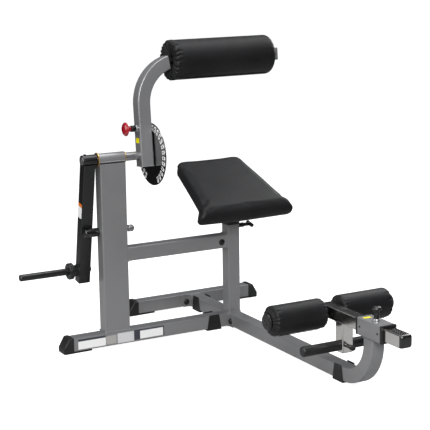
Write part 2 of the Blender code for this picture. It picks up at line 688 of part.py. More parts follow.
def seat_group():
    """Pad on a plywood board, carried by a bracket on the telescoping inner post."""
    roll_along = SEAT_LEN - SEAT_ROLL_R
    pad_profile = [(0.0, -SEAT_T + 0.006), (0.0, -0.010), (0.008, 0.0), (0.09, 0.0), (0.18, 0.0),
                   (SEAT_FLAT, 0.0)]
    steps = 8
    for step in range(steps + 1):
        angle = math.pi / 2 - step * math.pi * 1.12 / steps
        pad_profile.append((roll_along + SEAT_ROLL_R * math.cos(angle),
                            -SEAT_ROLL_R + SEAT_ROLL_R * math.sin(angle)))
    pad_profile += [(0.300, -SEAT_T), (0.18, -SEAT_T), (0.09, -SEAT_T), (0.006, -SEAT_T)]
    cushion = seat_slab("seat_pad", pad_profile, VINYL, 0.0)
    bevel(cushion, 0.010, 2)

    board_top = -SEAT_T - GAP
    board_low = board_top - BOARD_T
    board_rear, board_mid, board_front = 0.012, 0.15, 0.285
    board_profile = [(board_rear, board_top), (board_mid, board_top), (board_front, board_top),
                     (board_front, board_low), (board_mid, board_low), (board_rear, board_low)]
    seat_slab("seat_board", board_profile, PLYWOOD, 0.016)

    plate_top = board_low - GAP
    plate_t = 0.005
    middle = 0.185
    y, z = seat_point(middle, plate_top - plate_t / 2)
    box("seat_bracket", (0.150, 0.190, plate_t), FRAME_PAINT, seat, (0, y, z), (SEAT_TILT, 0, 0), 0.0012)

    bottom = POST_REACH - POST_TOP
    top = 0.16
    inner = tube("seat_inner_post", (INNER_POST, INNER_POST, top - bottom), ("-Z", "+Z"), PLATED, seat,
                 (0, 0, (top + bottom) / 2), wall=0.0025)
    y, z = seat_point(middle, plate_top - plate_t - GAP + 0.05)
    mitre = box("mitre_inner_post", (0.3, 0.3, 0.1), None, seat, (0, y, z), (SEAT_TILT, 0, 0),
                collection=TOOLS)
    combine(inner, mitre, "DIFFERENCE")
    for step in range(5):
        spot = (INNER_POST / 2, 0, SEAT_PIN_Z - POST_TOP - step * SEAT_STEP)
        drill(inner, 0.0048, "+X", seat, spot, 0.02, 12)


def seat_pin():
    """Spring pin with a T handle on the right of the post."""
    face = TUBE / 2
    z = SEAT_PIN_Z
    barrel = [(0.0050, 0.033), (0.0084, 0.033), (0.0092, 0.0315), (0.0092, 0.007), (0.0102, 0.006),
              (0.0102, GAP), (0.0070, GAP), (0.0070, 0.0305), (0.0050, 0.0305)]
    turned("seat_pin_barrel", barrel, PLASTIC, post_foot, (face, 0, z), "+X", 16, ring=True)
    stem = [(0, 0.066), (0.0060, 0.066), (0.0072, 0.064), (0.0072, 0.0338), (0.0045, 0.0338),
            (0.0045, 0.0055), (0.0064, 0.0055), (0.0064, 0.0030), (0.0042, 0.0030), (0.0042, -0.0049),
            (0, -0.0049)]
    handle = turned("seat_pin_handle", stem, PLASTIC, post_foot, (face, 0, z), "+X", 16)
    grip = turned("grip_seat_pin", rod_profile(0.0084, 0.044, 0.003), None, post_foot,
                  (face + 0.0605, 0, z), "+Y", 12, collection=TOOLS)
    grip.rotation_euler = (math.radians(-78), 0, 0)
    combine(handle, grip, "UNION")
    spring("seat_pin_spring", 0.0056, 0.0006, 0.0245, 5, post_foot, (face + 0.0058, 0, z), "+X")


# ---------------------------------------------------------------- foot sleeve and carriage
def foot_sleeve():
    """Square sleeve on the beam's nose with a plastic bushing in each end."""
    wall = 0.0038
    sleeve = tube("foot_sleeve", (SLEEVE, SLEEVE_LEN, SLEEVE), ("-Y", "+Y"), FRAME_PAINT, post_foot,
                  (0, SLEEVE_Y, SLEEVE_Z), wall=wall)
    drill(sleeve, 0.0062, "+Z", post_foot, (0, FOOT_PIN_Y, SLEEVE_Z + SLEEVE / 2), 0.02)
    bore = SLIDE + 0.0008
    body = SLEEVE - 2 * wall - 2 * GAP
    lip, plug_len = 0.010, 0.032
    for name, side in (("sleeve_bushing_front", -1), ("sleeve_bushing_rear", 1)):
        face = SLEEVE_Y + side * (SLEEVE_LEN / 2 + GAP)
        bushing = box(name, (SLEEVE, lip, SLEEVE), PLASTIC, post_foot, (0, face + side * lip / 2, SLEEVE_Z))
        plug_y = face - side * (plug_len - 0.001) / 2
        plug = box("plug_" + name, (body, plug_len, body), None, post_foot, (0, plug_y, SLEEVE_Z),
                   collection=TOOLS)
        hole = box("bore_" + name, (bore, 0.12, bore), None, post_foot, (0, face, SLEEVE_Z), collection=TOOLS)
        combine(bushing, plug, "UNION")
        combine(bushing, hole, "DIFFERENCE")


def foot_pin():
    """Spring pin with a round knob on top of the sleeve."""
    spot = (0, FOOT_PIN_Y, SLEEVE_Z + SLEEVE / 2)
    barrel = [(0.0050, 0.026), (0.0088, 0.026), (0.0098, 0.0245), (0.0098, 0.009), (0.0128, 0.008),
              (0.0128, GAP), (0.0070, GAP), (0.0070, 0.0235), (0.0050, 0.0235)]
    turned("foot_pin_barrel", barrel, PLASTIC, post_foot, spot, "+Z", 16, ring=True)
    knob = [(0, 0.0480), (0.0080, 0.0472), (0.0142, 0.0445), (0.0172, 0.0405), (0.0165, 0.0370),
            (0.0100, 0.0340), (0.0088, 0.0268), (0.0045, 0.0268), (0.0045, 0.0055), (0.0064, 0.0055),
            (0.0064, 0.0030), (0.0042, 0.0030), (0.0042, -0.0075), (0, -0.0075)]
    turned("foot_pin_knob", knob, PLASTIC, post_foot, spot, "+Z", 16)
    spring_foot = (spot[0], spot[1], spot[2] + 0.0058)
    spring("foot_pin_spring", 0.0056, 0.0006, 0.0174, 4, post_foot, spring_foot, "+Z")


def foot_carriage():
    """Plated tube with the roller axle, and the drop tube with the foot bar."""
    length = SLIDE_REAR - SLIDE_FRONT
    middle = (SLIDE_REAR + SLIDE_FRONT) / 2 - SLEEVE_Y
    slide = tube("slide_tube", (SLIDE, length, SLIDE), ("-Y",), PLATED, carriage, (0, middle, 0))
    axle_y, axle_z = AXLE_Y - SLEEVE_Y, AXLE_Z - SLEEVE_Z
    drill(slide, AXLE_R + GAP, "+X", carriage, (0, axle_y, axle_z), 0.1, 24)
    for step in range(-2, 3):
        spot = (0, FOOT_PIN_Y - SLEEVE_Y + step * FOOT_STEP, SLIDE / 2)
        drill(slide, 0.0048, "+Z", carriage, spot, 0.012, 12)
    cap_y = SLIDE_FRONT - GAP - SLIDE_CAP / 2 - SLEEVE_Y
    cap = box("slide_front_cap", (SLIDE, SLIDE_CAP, SLIDE), PLASTIC, carriage, (0, cap_y, 0))
    bevel(cap, 0.0055, 3)

    reach = FOOT_ROLLER_OUT + 0.0085
    flange_r = 0.0295
    inside = FOOT_ROLLER_OUT + GAP
    axle = [(0, reach), (flange_r - 0.004, reach), (flange_r, reach - 0.003), (flange_r, inside),
            (AXLE_R, inside), (AXLE_R, -inside), (flange_r, -inside), (flange_r, 0.003 - reach),
            (flange_r - 0.004, -reach), (0, -reach)]
    turned("foot_axle", axle, PLASTIC, carriage, (0, axle_y, axle_z), "+X", 24)

    drop_top = SLEEVE_Z - SLIDE / 2 - GAP
    drop_len = drop_top - DROP_BOTTOM
    drop_y = DROP_Y - SLEEVE_Y
    drop = tube("drop_tube", (SLIDE, SLIDE, drop_len), ("+Z",), PLATED, carriage,
                (0, drop_y, DROP_BOTTOM + drop_len / 2 - SLEEVE_Z))
    bar_z = FOOT_BAR_Z - SLEEVE_Z
    drill(drop, FOOT_BAR_R + GAP, "+X", carriage, (0, drop_y, bar_z), 0.1, 24)
    drill(drop, 0.0053, "+Y", carriage, (0, drop_y - SLIDE / 2, bar_z), 0.012)
    rod("foot_bar", FOOT_BAR_R, (-FOOT_BAR_HALF, FOOT_BAR_HALF), STEEL, carriage, drop_y, bar_z)
    start, cap, fit = 0.0228, 0.005, FOOT_BAR_R + GAP
    grip_len = FOOT_BAR_HALF + cap + 0.0005 - start
    for side, label, axis in ((-1, "left", "-X"), (1, "right", "+X")):
        profile = [(0, grip_len), (GRIP_R - 0.004, grip_len), (GRIP_R, grip_len - 0.004), (GRIP_R, 0.001),
                   (GRIP_R - 0.001, 0), (fit, 0), (fit, grip_len - cap), (0, grip_len - cap)]
        turned("foot_grip_" + label, profile, RUBBER, carriage, (side * start, drop_y, bar_z), axis, 24)
    lock = [(0, 0.037), (0.0065, 0.037), (0.0088, 0.034), (0.0088, 0.020), (0.0070, 0.018), (0.0070, GAP),
            (0.0050, GAP), (0.0050, -0.0030), (0, -0.0030)]
    turned("foot_bar_lock", lock, PLASTIC, carriage, (0, drop_y - SLIDE / 2, bar_z), "-Y", 16)


base_frame()
shoes()
tower()
stop()
housing_bushings()
swing_group()
index_disc()
pad_arm_group()
rollers()
seat_group()
seat_pin()
foot_sleeve()
foot_pin()
foot_carriage()
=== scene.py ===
"""Looks of the seated trunk machine: powder coat, chrome, vinyl padding, welds, fasteners and labels.

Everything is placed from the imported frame, in metres, with every piece's object at the origin.
"""
import json
import math

import bmesh
import bpy
from mathutils import Euler, Matrix, Vector, noise


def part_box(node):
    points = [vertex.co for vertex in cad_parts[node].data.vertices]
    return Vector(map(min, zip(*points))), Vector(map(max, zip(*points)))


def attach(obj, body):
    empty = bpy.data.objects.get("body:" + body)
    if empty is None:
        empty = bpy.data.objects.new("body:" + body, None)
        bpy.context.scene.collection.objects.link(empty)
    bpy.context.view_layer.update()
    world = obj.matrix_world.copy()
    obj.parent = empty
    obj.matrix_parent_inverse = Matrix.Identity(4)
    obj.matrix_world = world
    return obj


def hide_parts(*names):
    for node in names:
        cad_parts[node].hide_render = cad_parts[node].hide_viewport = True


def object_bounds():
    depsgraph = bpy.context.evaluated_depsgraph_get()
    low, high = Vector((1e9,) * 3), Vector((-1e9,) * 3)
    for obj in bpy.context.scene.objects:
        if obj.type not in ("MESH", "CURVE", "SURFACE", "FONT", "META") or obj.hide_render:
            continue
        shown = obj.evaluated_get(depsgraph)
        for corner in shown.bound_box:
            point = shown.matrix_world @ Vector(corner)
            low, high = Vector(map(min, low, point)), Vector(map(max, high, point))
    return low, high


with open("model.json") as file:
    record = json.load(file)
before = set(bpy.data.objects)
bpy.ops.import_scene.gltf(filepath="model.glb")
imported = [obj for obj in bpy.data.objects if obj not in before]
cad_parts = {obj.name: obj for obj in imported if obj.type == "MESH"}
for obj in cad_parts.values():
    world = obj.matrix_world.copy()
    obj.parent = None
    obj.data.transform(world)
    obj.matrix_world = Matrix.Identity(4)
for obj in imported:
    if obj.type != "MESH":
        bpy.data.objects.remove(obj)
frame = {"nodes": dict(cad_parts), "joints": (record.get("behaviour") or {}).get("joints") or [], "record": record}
CAD_LOW, CAD_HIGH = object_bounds()

NODES = frame["nodes"]
JOINTS = {joint["name"]: joint for joint in frame["joints"]}
BODY_OF = {}
for body_name, members in frame["record"]["behaviour"]["bodies"].items():
    for member in members:
        BODY_OF[member] = body_name
SLOT_OF = {row["node"]: row["material_slot"] for row in frame["record"]["subparts"]}

X, Y, Z = Vector((1, 0, 0)), Vector((0, 1, 0)), Vector((0, 0, 1))
SMOOTH_ANGLE = math.radians(38)
GAP = 0.0003
RING_R = 0.100
HOLE_R = 0.0050
HOLE_STEP = math.radians(12)
HOLE_COUNT = 26
HOLES_AHEAD = 12
DISC_THICKNESS = 0.004
PRINT_T = 0.00025
SEAT_LEN = 0.368
SEAT_FLAT = 0.265
SEAT_ROLL = 0.0365
SEAT_THICK = 0.045
SEAT_REAR_HALF = 0.143
SEAT_TAPER = 0.125
SEAT_CORNER = 0.028
SEAT_LIFT = 0.0025
LABEL_OFF = 0.00012              # how far a printed label stands off its face
BEAM_BEND_R = 0.140
FLANGE_T = 0.005
PAD_ARM_SIDE = 0.050
PAD_ARM_BEND_R = 0.155
PAD_ARM_FOOT = -0.042            # the pad arm's lower end, along the arm from the pivot
SHAFT_BORE = 0.0161
HOUSING_BORE = 0.0186
SQUARE_TO_SHAFT = 0.999          # least x of the normal of a face that counts as flat on the disc
FOLD_HOLD = 0.060                # length at a cover's end where the folds resist the pressure
COVER_PRESSURE = 3
COVER_FRAMES = 20

# hem radius, corner, recess, cone, fold depth and reach of the folds along the barrel, for each end
GATHERED = (0.0165, 0.009, 0.013, 0.0, 0.0105, 0.026)
PLAIN = (0.0165, 0.017, 0.003, 0.0, 0.0012, 0.010)
OUTER = (0.0300, 0.009, 0.0, 0.009, 0.0048, 0.030)
INNER = (0.0135, 0.011, 0.003, 0.004, 0.0030, 0.020)

LENS = 113.36
CAMERA_PITCH, CAMERA_HEADING, CAMERA_ROLL = 11.708, -28.5875, -0.8404
CAMERA_FROM_POST = (-2.50125, -4.4655)
CAMERA_HEIGHT = 1.5
# name, place from the middle of the machine, size and power
LIGHTS = (("key", (-2.0, -3.6, 2.2), 2.2, 240), ("top", (0.2, 0.2, 2.9), 2.6, 72),
          ("left", (-3.4, 0.8, 1.2), 2.4, 58), ("right", (3.0, 1.2, 1.8), 2.2, 62))


def middle(node):
    """Centre of a CAD node's box."""
    low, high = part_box(node)
    return (low + high) / 2


def extent(node):
    """Size of a CAD node's box."""
    low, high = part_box(node)
    return high - low


PIVOT = Vector(JOINTS["swing"]["pos_m"])
ROLLER_AXIS = Vector(JOINTS["chest_roller_spin"]["pos_m"])
POST = middle("seat_post")


def frame_along(direction):
    """Matrix of a frame at the pivot whose Z runs along a direction square to X; local x is world x."""
    up = direction.normalized()
    side = up.cross(X)
    turned = Matrix((X, side, up)).transposed().to_4x4()
    return Matrix.Translation((0, PIVOT.y, PIVOT.z)) @ turned


PAD = frame_along(Vector((0, ROLLER_AXIS.y - PIVOT.y, ROLLER_AXIS.z - PIVOT.z)))
ROLLER_UP = (PAD.inverted() @ ROLLER_AXIS).z
HORN = middle("weight_horn")
WEIGHT = frame_along(Vector((0, PIVOT.y - HORN.y, PIVOT.z - HORN.z)))


# ---------------------------------------------------------------- materials
def new_material(name):
    """Empty node material; returns it with its tree and Principled shader."""
    made = bpy.data.materials.new(name)
    made.use_nodes = True
    tree = made.node_tree
    return made, tree, tree.nodes["Principled BSDF"]


def place_texture(tree, kind, scale, stretch=None, **inputs):
    """Texture node in object space, optionally stretched along the axes."""
    coordinates = tree.nodes.new("ShaderNodeTexCoord")
    texture = tree.nodes.new(kind)
    source = coordinates.outputs["Object"]
    if stretch:
        mapping = tree.nodes.new("ShaderNodeMapping")
        mapping.inputs["Scale"].default_value = stretch
        tree.links.new(source, mapping.inputs["Vector"])
        source = mapping.outputs["Vector"]
    tree.links.new(source, texture.inputs["Vector"])
    texture.inputs["Scale"].default_value = scale
    for label, value in inputs.items():
        texture.inputs[label].default_value = value
    return texture


def remap(tree, source, low, high, from_low=0.3, from_high=0.7):
    """Map a texture's value to a range."""
    node = tree.nodes.new("ShaderNodeMapRange")
    node.inputs["From Min"].default_value = from_low
    node.inputs["From Max"].default_value = from_high
    node.inputs["To Min"].default_value = low
    node.inputs["To Max"].default_value = high
    tree.links.new(source, node.inputs["Value"])
    return node.outputs["Result"]


def two_tone(tree, source, dark, light, low=0.35, high=0.65):
    """Colour ramp between two colours."""
    ramp = tree.nodes.new("ShaderNodeValToRGB")
    ramp.color_ramp.elements[0].position = low
    ramp.color_ramp.elements[0].color = (*dark, 1)
    ramp.color_ramp.elements[1].position = high
    ramp.color_ramp.elements[1].color = (*light, 1)
    tree.links.new(source, ramp.inputs["Fac"])
    return ramp.outputs["Color"]


def add_bump(tree, shader, source, strength, distance, under=None):
    """Bump from a height; returns its normal so that bumps can be stacked."""
    bump = tree.nodes.new("ShaderNodeBump")
    bump.inputs["Strength"].default_value = strength
    bump.inputs["Distance"].default_value = distance
    tree.links.new(source, bump.inputs["Height"])
    if under:
        tree.links.new(under, bump.inputs["Normal"])
    tree.links.new(bump.outputs["Normal"], shader.inputs["Normal"])
    return bump.outputs["Normal"]


def tones(colour, down, up):
    """Darker and lighter versions of a colour."""
    return tuple(channel * down for channel in colour), tuple(min(1.0, channel * up) for channel in colour)


def powder_coat(name, colour, spread, roughness, metallic=0.0, coat=0.0):
    """Baked powder paint: orange-peel skin, fine flake and faint cloudiness."""
    made, tree, shader = new_material(name)
    shader.inputs["Metallic"].default_value = metallic
    shader.inputs["Coat Weight"].default_value = coat
    shader.inputs["Coat Roughness"].default_value = 0.2
    dark, light = tones(colour, 1 - spread, 1 + spread)
    flake = place_texture(tree, "ShaderNodeTexNoise", 2600, Detail=2.0, Roughness=0.7)
    tree.links.new(two_tone(tree, flake.outputs["Fac"], dark, light), shader.inputs["Base Color"])
    cloud = place_texture(tree, "ShaderNodeTexNoise", 14, Detail=4.0)
    rough = remap(tree, cloud.outputs["Fac"], roughness - 0.05, roughness + 0.06)
    tree.links.new(rough, shader.inputs["Roughness"])
    peel = place_texture(tree, "ShaderNodeTexNoise", 480, Detail=1.5)
    skin = add_bump(tree, shader, peel.outputs["Fac"], 0.06, 0.0004)
    add_bump(tree, shader, flake.outputs["Fac"], 0.02, 0.0001, skin)
    return made


def moulded(name, colour, roughness, grain=900, depth=0.0004, strength=0.15, coat=0.0):
    """Moulded plastic or rubber with a fine textured skin."""
    made, tree, shader = new_material(name)
    shader.inputs["Coat Weight"].default_value = coat
    shader.inputs["Coat Roughness"].default_value = 0.08
    cloud = place_texture(tree, "ShaderNodeTexNoise", 35, Detail=5.0)
    dark, light = tones(colour, 0.8, 1.25)
    tree.links.new(two_tone(tree, cloud.outputs["Fac"], dark, light), shader.inputs["Base Color"])
    rough = remap(tree, cloud.outputs["Fac"], roughness - 0.05, roughness + 0.07)
    tree.links.new(rough, shader.inputs["Roughness"])
    skin = place_texture(tree, "ShaderNodeTexNoise", grain, Detail=3.0)
    add_bump(tree, shader, skin.outputs["Fac"], strength, depth)
    return made


def bare_metal(name, colour, roughness, stretch, spread=0.06, strength=0.05):
    """Plated or turned metal with fine tool marks along one direction."""
    made, tree, shader = new_material(name)
    shader.inputs["Metallic"].default_value = 1.0
    marks = place_texture(tree, "ShaderNodeTexNoise", 60, stretch=stretch, Detail=6.0, Roughness=0.65)
    dark, light = tones(colour, 1 - spread, 1 + spread)
    tree.links.new(two_tone(tree, marks.outputs["Fac"], dark, light), shader.inputs["Base Color"])
    rough = remap(tree, marks.outputs["Fac"], roughness * 0.7, roughness * 1.4)
    tree.links.new(rough, shader.inputs["Roughness"])
    add_bump(tree, shader, marks.outputs["Fac"], strength, 0.0001)
    return made


def vinyl_cover(name, colour, roughness):
    """Upholstery vinyl: pebble grain over a soft, slightly uneven skin."""
    made, tree, shader = new_material(name)
    shader.inputs["Sheen Weight"].default_value = 0.02
    shader.inputs["Sheen Roughness"].default_value = 0.4
    shader.inputs["Specular IOR Level"].default_value = 0.26
    cloud = place_texture(tree, "ShaderNodeTexNoise", 9, Detail=4.0)
    dark, light = tones(colour, 0.75, 1.3)
    tree.links.new(two_tone(tree, cloud.outputs["Fac"], dark, light), shader.inputs["Base Color"])
    pebble = place_texture(tree, "ShaderNodeTexVoronoi", 850)
    rough = remap(tree, pebble.outputs["Distance"], roughness + 0.1, roughness - 0.04, 0.0, 0.6)
    tree.links.new(rough, shader.inputs["Roughness"])
    slack = place_texture(tree, "ShaderNodeTexNoise", 38, Detail=2.0)
    soft = add_bump(tree, shader, slack.outputs["Fac"], 0.10, 0.004)
    add_bump(tree, shader, pebble.outputs["Distance"], 0.35, 0.0005, soft)
    return made


def woven_cloth(name, colour):
    """Thin black backing cloth stapled under the seat."""
    made, tree, shader = new_material(name)
    shader.inputs["Roughness"].default_value = 0.9
    shader.inputs["Sheen Weight"].default_value = 0.3
    speck = place_texture(tree, "ShaderNodeTexNoise", 700, Detail=6.0, Roughness=0.8)
    dark, light = tones(colour, 0.5, 1.8)
    tree.links.new(two_tone(tree, speck.outputs["Fac"], dark, light), shader.inputs["Base Color"])
    add_bump(tree, shader, speck.outputs["Fac"], 0.5, 0.0006)
    return made


def printed_label(name, colour):
    """Printed film with a faintly mottled ink."""
    roughness = 0.35
    made, tree, shader = new_material(name)
    ink = place_texture(tree, "ShaderNodeTexNoise", 500, Detail=3.0)
    dark = tuple(channel * 0.93 for channel in colour)
    tree.links.new(two_tone(tree, ink.outputs["Fac"], dark, colour), shader.inputs["Base Color"])
    rough = remap(tree, ink.outputs["Fac"], roughness - 0.04, roughness + 0.06)
    tree.links.new(rough, shader.inputs["Roughness"])
    return made


MATERIALS = {
    "frame_paint": powder_coat("look_frame_paint", (0.225, 0.225, 0.228), 0.10, 0.35, 0.42, 0.30),
    "black_paint": powder_coat("look_black_paint", (0.006, 0.006, 0.0065), 0.2, 0.32, 0.0, 0.10),
    "gloss_black": powder_coat("look_gloss_black", (0.24, 0.24, 0.245), 0.05, 0.07, 1.0, 0.8),
    "rubber": moulded("look_rubber", (0.006, 0.006, 0.006), 0.42, 650, 0.0005, 0.3),
    "black_plastic": moulded("look_black_plastic", (0.006, 0.006, 0.0065), 0.32),
    "plated_steel": bare_metal("look_plated_steel", (0.66, 0.65, 0.62), 0.15, (6, 0.4, 6), 0.05, 0.03),
    "bright_steel": bare_metal("look_bright_steel", (0.40, 0.40, 0.41), 0.36, (1, 3, 3), 0.03, 0.004),
    "bronze": bare_metal("look_bronze", (0.62, 0.40, 0.16), 0.35, (1, 1, 1), 0.15, 0.2),
    "black_vinyl": vinyl_cover("look_black_vinyl", (0.0055, 0.0055, 0.006), 0.52),
    "red_plastic": moulded("look_red_plastic", (0.26, 0.004, 0.012), 0.16, 300, 0.0003, 0.05, 0.5),
    "plywood": woven_cloth("look_backing_cloth", (0.012, 0.012, 0.013)),
}
ZINC = bare_metal("look_zinc", (0.72, 0.73, 0.74), 0.24, (1, 1, 1), 0.08)
WELD = powder_coat("look_weld_paint", (0.225, 0.225, 0.228), 0.2, 0.36, 0.42, 0.30)
GLOSS_PLASTIC = moulded("look_gloss_plastic", (0.006, 0.006, 0.0065), 0.16, 300, 0.0002, 0.05, 0.5)
WHITE_LABEL = printed_label("look_white_label", (0.80, 0.80, 0.79))
PALE_LABEL = printed_label("look_pale_label", (0.58, 0.58, 0.59))
GREY_LABEL = printed_label("look_grey_label", (0.36, 0.35, 0.33))
DARK_LABEL = printed_label("look_dark_label", (0.035, 0.038, 0.05))
YELLOW_LABEL = printed_label("look_yellow_label", (0.85, 0.74, 0.0))
ORANGE_LABEL = printed_label("look_orange_label", (0.72, 0.17, 0.01))
WHITE_INK = printed_label("look_white_ink", (0.85, 0.85, 0.85))
BLACK_INK = printed_label("look_black_ink", (0.006, 0.006, 0.006))
STAPLE = bare_metal("look_staple", (0.6, 0.6, 0.6), 0.3, (1, 1, 1))


# ---------------------------------------------------------------- mesh helpers
def finish_mesh(shape, name, paint, body, sharp=SMOOTH_ANGLE):
    """Turn a bmesh into a piece that rides on a body."""
    mesh = bpy.data.meshes.new(name)
    bmesh.ops.recalc_face_normals(shape, faces=shape.faces)
    shape.to_mesh(mesh)
    shape.free()
    mesh.materials.append(paint)
    mesh.shade_smooth()
    mesh.set_sharp_from_angle(angle=sharp)
    piece = bpy.data.objects.new(name, mesh)
    bpy.context.scene.collection.objects.link(piece)
    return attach(piece, body)


def even_normals(piece):
    """Keep large flat faces flat in the shading next to rounded edges."""
    weighted = piece.modifiers.new("Even", "WEIGHTED_NORMAL")
    weighted.keep_sharp = True
    weighted.weight = 100
    return piece


def stand_for(piece, *nodes):
    """The piece replaces CAD nodes, which are hidden."""
    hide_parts(*nodes)
    return piece


def refined(node, edge=0.0006):
    """Copy of a CAD node with welded faces, softened edges and smooth rounds."""
    shape = bmesh.new()
    shape.from_mesh(NODES[node].data)
    bmesh.ops.remove_doubles(shape, verts=shape.verts, dist=0.00002)
    bmesh.ops.dissolve_limit(shape, angle_limit=math.radians(1.0), verts=shape.verts, edges=shape.edges)
    piece = finish_mesh(shape, node + "_piece", MATERIALS[SLOT_OF[node]], BODY_OF[node])
    rounding = piece.modifiers.new("Edge", "BEVEL")
    rounding.width = edge
    rounding.segments = 2
    rounding.limit_method = "ANGLE"
    rounding.angle_limit = math.radians(50)
    rounding.use_clamp_overlap = True
    return even_normals(stand_for(piece, node))


def soften(profile, radius, closed):
    """Round the corners of an (along, radius) outline; poles on the axis stay."""
    segments = 3
    count = len(profile)
    rounded = []
    for index, entry in enumerate(profile):
        at_end = not closed and index in (0, count - 1)
        if at_end or radius <= 0:
            rounded.append(entry)
            continue
        corner = Vector(entry[:2])
        before = Vector(profile[index - 1][:2])
        after = Vector(profile[(index + 1) % count][:2])
        back = min(radius, (before - corner).length * 0.45)
        ahead = min(radius, (after - corner).length * 0.45)
        start = corner + (before - corner).normalized() * back
        end = corner + (after - corner).normalized() * ahead
        for step in range(segments + 1):
            t = step / segments
            point = start * (1 - t) ** 2 + corner * 2 * t * (1 - t) + end * t ** 2
            rounded.append((point.x, point.y, *entry[2:]))
    return rounded


def ring_radius(radius, sides, angle):
    """Radius of a round or many-sided ring at an angle."""
    if not sides:
        return radius
    part = 2 * math.pi / sides
    return radius * math.cos(part / 2) / math.cos(angle % part - part / 2)


def lathe_shape(profile, centre, axis, steps=64, closed=False, corner=0.0005):
    """Turn an outline of (along, radius[, sides]) entries round an axis through a centre."""
    axis = axis.normalized()
    side = axis.orthogonal().normalized()
    other = axis.cross(side)
    shape = bmesh.new()
    rings = []
    for entry in soften(profile, corner, closed):
        along, radius = entry[0], entry[1]
        sides = entry[2] if len(entry) > 2 else 0
        base = centre + axis * along
        if radius < 1e-6:
            rings.append([shape.verts.new(base)])
            continue
        ring = []
        for step in range(steps):
            angle = 2 * math.pi * step / steps
            reach = ring_radius(radius, sides, angle)
            ring.append(shape.verts.new(base + (side * math.cos(angle) + other * math.sin(angle)) * reach))
        rings.append(ring)
    pairs = list(zip(rings, rings[1:]))
    if closed:
        pairs.append((rings[-1], rings[0]))
    for first, second in pairs:
        for step in range(steps):
            ahead = (step + 1) % steps
            if len(first) == 1:
                corners = [first[0], second[ahead], second[step]]
            elif len(second) == 1:
                corners = [first[step], first[ahead], second[0]]
            else:
                corners = [first[step], first[ahead], second[ahead], second[step]]
            shape.faces.new(corners)
    return shape


def lathe(name, profile, centre, axis, paint, body, steps=64, closed=False, corner=0.0005):
    """Turned piece."""
    shape = lathe_shape(profile, centre, axis, steps, closed, corner)
    return finish_mesh(shape, name, paint, body)


def turned_piece(node, profile, centre, axis, steps=64, closed=False, corner=0.0005, paint=None):
    """Turned piece that stands for a CAD node, in the node's own material unless another is given."""
    piece = lathe(node + "_piece", profile, centre, axis, paint or MATERIALS[SLOT_OF[node]], BODY_OF[node],
                  steps, closed, corner)
    return stand_for(piece, node)


def end_point(node, axis, sign):
    """Middle of the face of a CAD node's box that looks along an axis (0, 1 or 2), forwards or back."""
    low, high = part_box(node)
    point = (low + high) / 2
    point[axis] = high[axis] if sign > 0 else low[axis]
    return point


def add_shape(target, shape):
    """Put one bmesh's faces into another."""
    scratch = bpy.data.meshes.new("scratch")
    shape.to_mesh(scratch)
    shape.free()
    target.from_mesh(scratch)
    bpy.data.meshes.remove(scratch)


def join_rings(shape, pairs):
    """Quads between pairs of rings that have the same number of points."""
    for first, second in pairs:
        for index, vert in enumerate(first):
            ahead = (index + 1) % len(first)
            shape.faces.new([vert, first[ahead], second[ahead], second[index]])


def rounded_outline(width, height, radius, segments):
    """Points of a rectangle with rounded corners."""
    points = []
    for quarter, (sign_u, sign_v) in enumerate(((1, 1), (-1, 1), (-1, -1), (1, -1))):
        for step in range(segments + 1):
            angle = (quarter + step / segments) * math.pi / 2
            points.append((sign_u * (width / 2 - radius) + radius * math.cos(angle),
                           sign_v * (height / 2 - radius) + radius * math.sin(angle)))
    return points


def block_shape(centre, right, up, width, height, depth, radius, segments=4):
    """Rounded plate: its face spans right and up, its depth runs along their normal, centred."""
    right, up = right.normalized(), up.normalized()
    out = right.cross(up)
    outline = rounded_outline(width, height, radius, segments)
    shape = bmesh.new()
    layers = []
    for level in (-depth / 2, depth / 2):
        layers.append([shape.verts.new(centre + right * u + up * v + out * level) for u, v in outline])
    shape.faces.new(layers[0])
    shape.faces.new(layers[1])
    join_rings(shape, [layers])
    return shape


def label(name, centre, right, up, width, height, paint, body):
    """Thin printed sticker lying on a face."""
    shape = block_shape(centre, right, up, width, height, 0.0003, 0.0015)
    return finish_mesh(shape, name, paint, body)


def sweep_shape(path, normal, outline):
    """Solid swept along a flat path; the outline is (across the path's plane normal, in its plane)."""
    shape = bmesh.new()
    rings = []
    count = len(path)
    for index, point in enumerate(path):
        before = path[max(index - 1, 0)]
        after = path[min(index + 1, count - 1)]
        ahead = (after - before).normalized()
        inward = ahead.cross(normal).normalized()
        rings.append([shape.verts.new(point + normal * u + inward * v) for u, v in outline])
    join_rings(shape, zip(rings, rings[1:]))
    shape.faces.new(rings[0])
    shape.faces.new(rings[-1])
    return shape


def tube_outline(side, radius=0.0042):
    """Rounded square section."""
    return rounded_outline(side, side, radius, 5)


def evaluated_shape(name, data, merge, turn=None):
    """Bmesh of a curve's or a text's surface with its loose caps welded, moved by a matrix first."""
    thing = bpy.data.objects.new(name, data)
    bpy.context.scene.collection.objects.link(thing)
    bpy.context.view_layer.update()
    mesh = bpy.data.meshes.new_from_object(thing.evaluated_get(bpy.context.evaluated_depsgraph_get()))
    bpy.data.objects.remove(thing)
    if turn:
        mesh.transform(turn)
    shape = bmesh.new()
    shape.from_mesh(mesh)
    bpy.data.meshes.remove(mesh)
    bmesh.ops.remove_doubles(shape, verts=shape.verts, dist=merge)
    return shape


